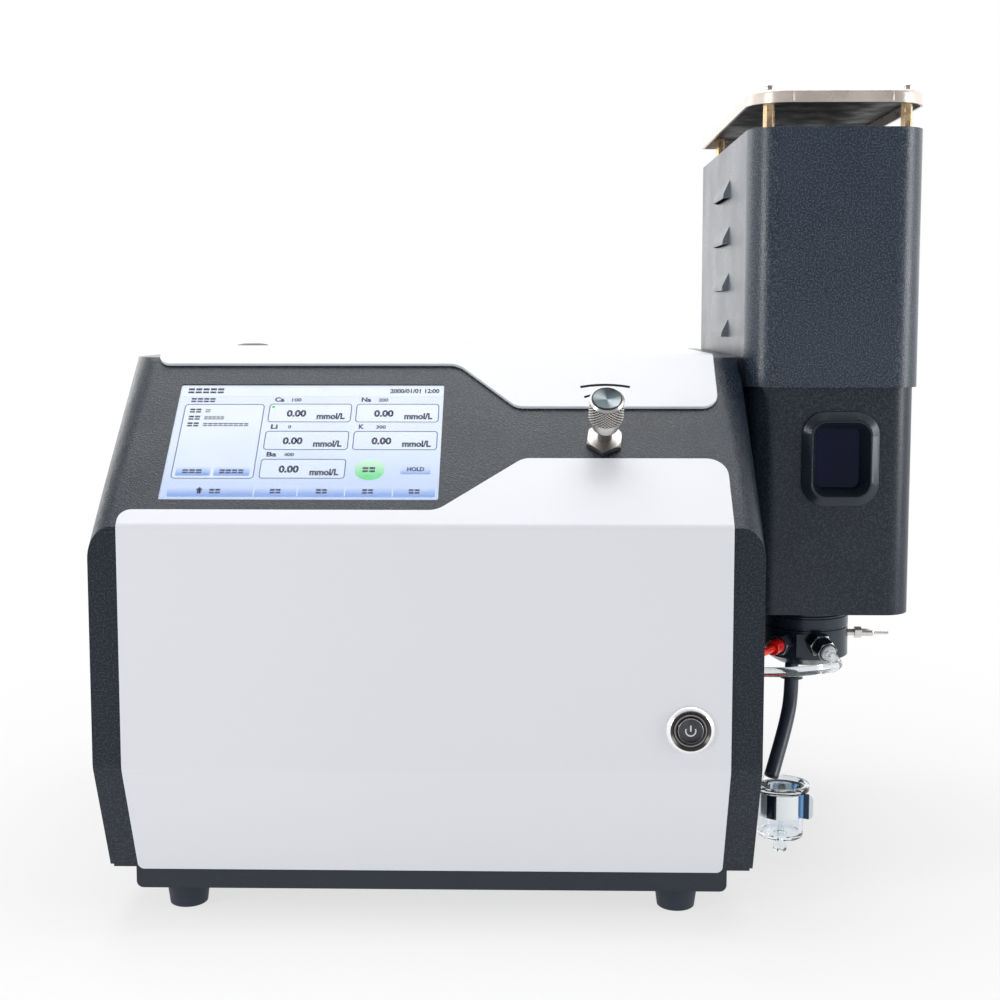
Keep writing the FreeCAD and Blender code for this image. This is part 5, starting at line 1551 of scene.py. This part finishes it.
@dataclass
class DrainUnit:
    """Drain spigot, clear liquid-seal cup, its clip and bracket."""

    x: float = 162.5
    y: float = -57.0
    radius: float = 14.2
    wall: float = 2.2
    low: float = 15.4
    top: float = 49.6
    rim_height: float = 4.0
    clearance: float = 0.02

    def build(self) -> None:
        """Makes every piece of the drain."""
        stand_in("drain_fitting", "drain_spigot", 0.3, ANODISED, Slot.BLACK_ANODISED)
        r, inside = self.radius - self.clearance, self.radius - self.wall
        low, top, rim = self.low, self.top, self.top - self.rim_height
        cup = Workpiece.turned("seal_cup", [
            (1.2, low - 10.2), (3.7, low - 10.2), (4.2, low - 9.6), (4.2, low), (r - 0.8, low),
            (r, low + 0.8), (r, rim), (17.5, rim), (17.85, rim + 0.4), (17.85, top - 0.6),
            (17.4, top - 0.1), (16.4, top), (15.3, top - 0.1), (inside + 0.6, rim), (inside, rim - 2),
            (inside, low + 3.2), (inside - 0.7, low + 2.5), (2.3, low + 2.5), (2.3, low + 17),
            (1.2, low + 17), (1.2, low - 10.2)], ring=True)
        cup.place(Matrix.Translation((self.x * MM, self.y * MM, 0))).dress(ACRYLIC)
        cup.fit(Body.CONSOLE, Slot.ACRYLIC, "drain_cup", angle=30)
        stand_in("cup_clip", "spring_clip", 0.2, SPRING_STEEL, Slot.CHROME)
        stand_in("cup_bracket", "clip_strap", 0.3, HOUSING_COAT, Slot.BLACK_COAT)


# ---------------------------------------------------------------- rear and inside
@dataclass
class RearServices:
    """Mains inlet, gas spigot, air regulator and its knob."""

    rounding: float = 0.3

    def build(self) -> None:
        """Makes every piece on the rear."""
        width = self.rounding
        stand_in("power_inlet", "mains_socket", width, DARK_PLASTIC, Slot.BLACK_PLASTIC)
        stand_in("inlet_pins", "socket_pins", width, CHROME, Slot.NICKEL)
        stand_in("fuse_drawer", "fuse_holder", width, DARK_PLASTIC, Slot.BLACK_PLASTIC, Body.FUSE)
        stand_in("fuel_inlet", "gas_spigot", width, BRASS, Slot.BRASS)
        stand_in("regulator_body", "regulator_block", width, ANODISED, Slot.BLACK_ANODISED)
        stand_in("regulator_bowl", "filter_bowl", width, ACRYLIC, Slot.ACRYLIC)
        stand_in("regulator_knob", "pressure_knob_cap", width, DARK_PLASTIC, Slot.BLACK_PLASTIC,
                 Body.PRESSURE_KNOB)
        stand_in("air_inlet", "air_spigot", width, BRASS, Slot.BRASS)


class Interior:
    """Solids inside the case and the housing, kept as they are with their finishes."""

    finishes: dict[str, Finish] = {
        "lcd_module": GLOSS_PLASTIC, "lcd_bracket": ALUMINIUM, "button_nut": NICKEL,
        "needle_spindle": STAINLESS, "main_board": BOARD_GREEN, "power_supply": ALUMINIUM,
        "ignition_coil": DARK_PLASTIC, "gas_solenoid": BRASS, "detector_block": ANODISED,
        "optical_filters": FILTER, "photodiodes": NICKEL, "focus_lens": PANE, "light_tube": ANODISED,
        "burner_head": STAINLESS, "flame_chimney": STAINLESS, "igniter_electrode": CERAMIC,
    }

    def build(self) -> None:
        """Gives every inner solid its finish."""
        for node, finish in self.finishes.items():
            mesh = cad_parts[node].data
            mesh.materials.clear()
            mesh.materials.append(finish.material())
            LOG.info("%s kept, in %s", node, finish.name)


def main() -> None:
    """Builds the studio, the hoses and then the instrument, piece by piece."""
    logging.basicConfig(level=logging.INFO, format="%(name)s: %(message)s")
    Studio().build()
    build_hoses()
    for unit in (Console(), Display(), TuningValve(), PowerButton(), BurnerTower(), Plumbing(), DrainUnit(),
                 RearServices(), Interior()):
        LOG.info("building %s", type(unit).__name__)
        unit.build()


if __name__ == "__main__":
    main()
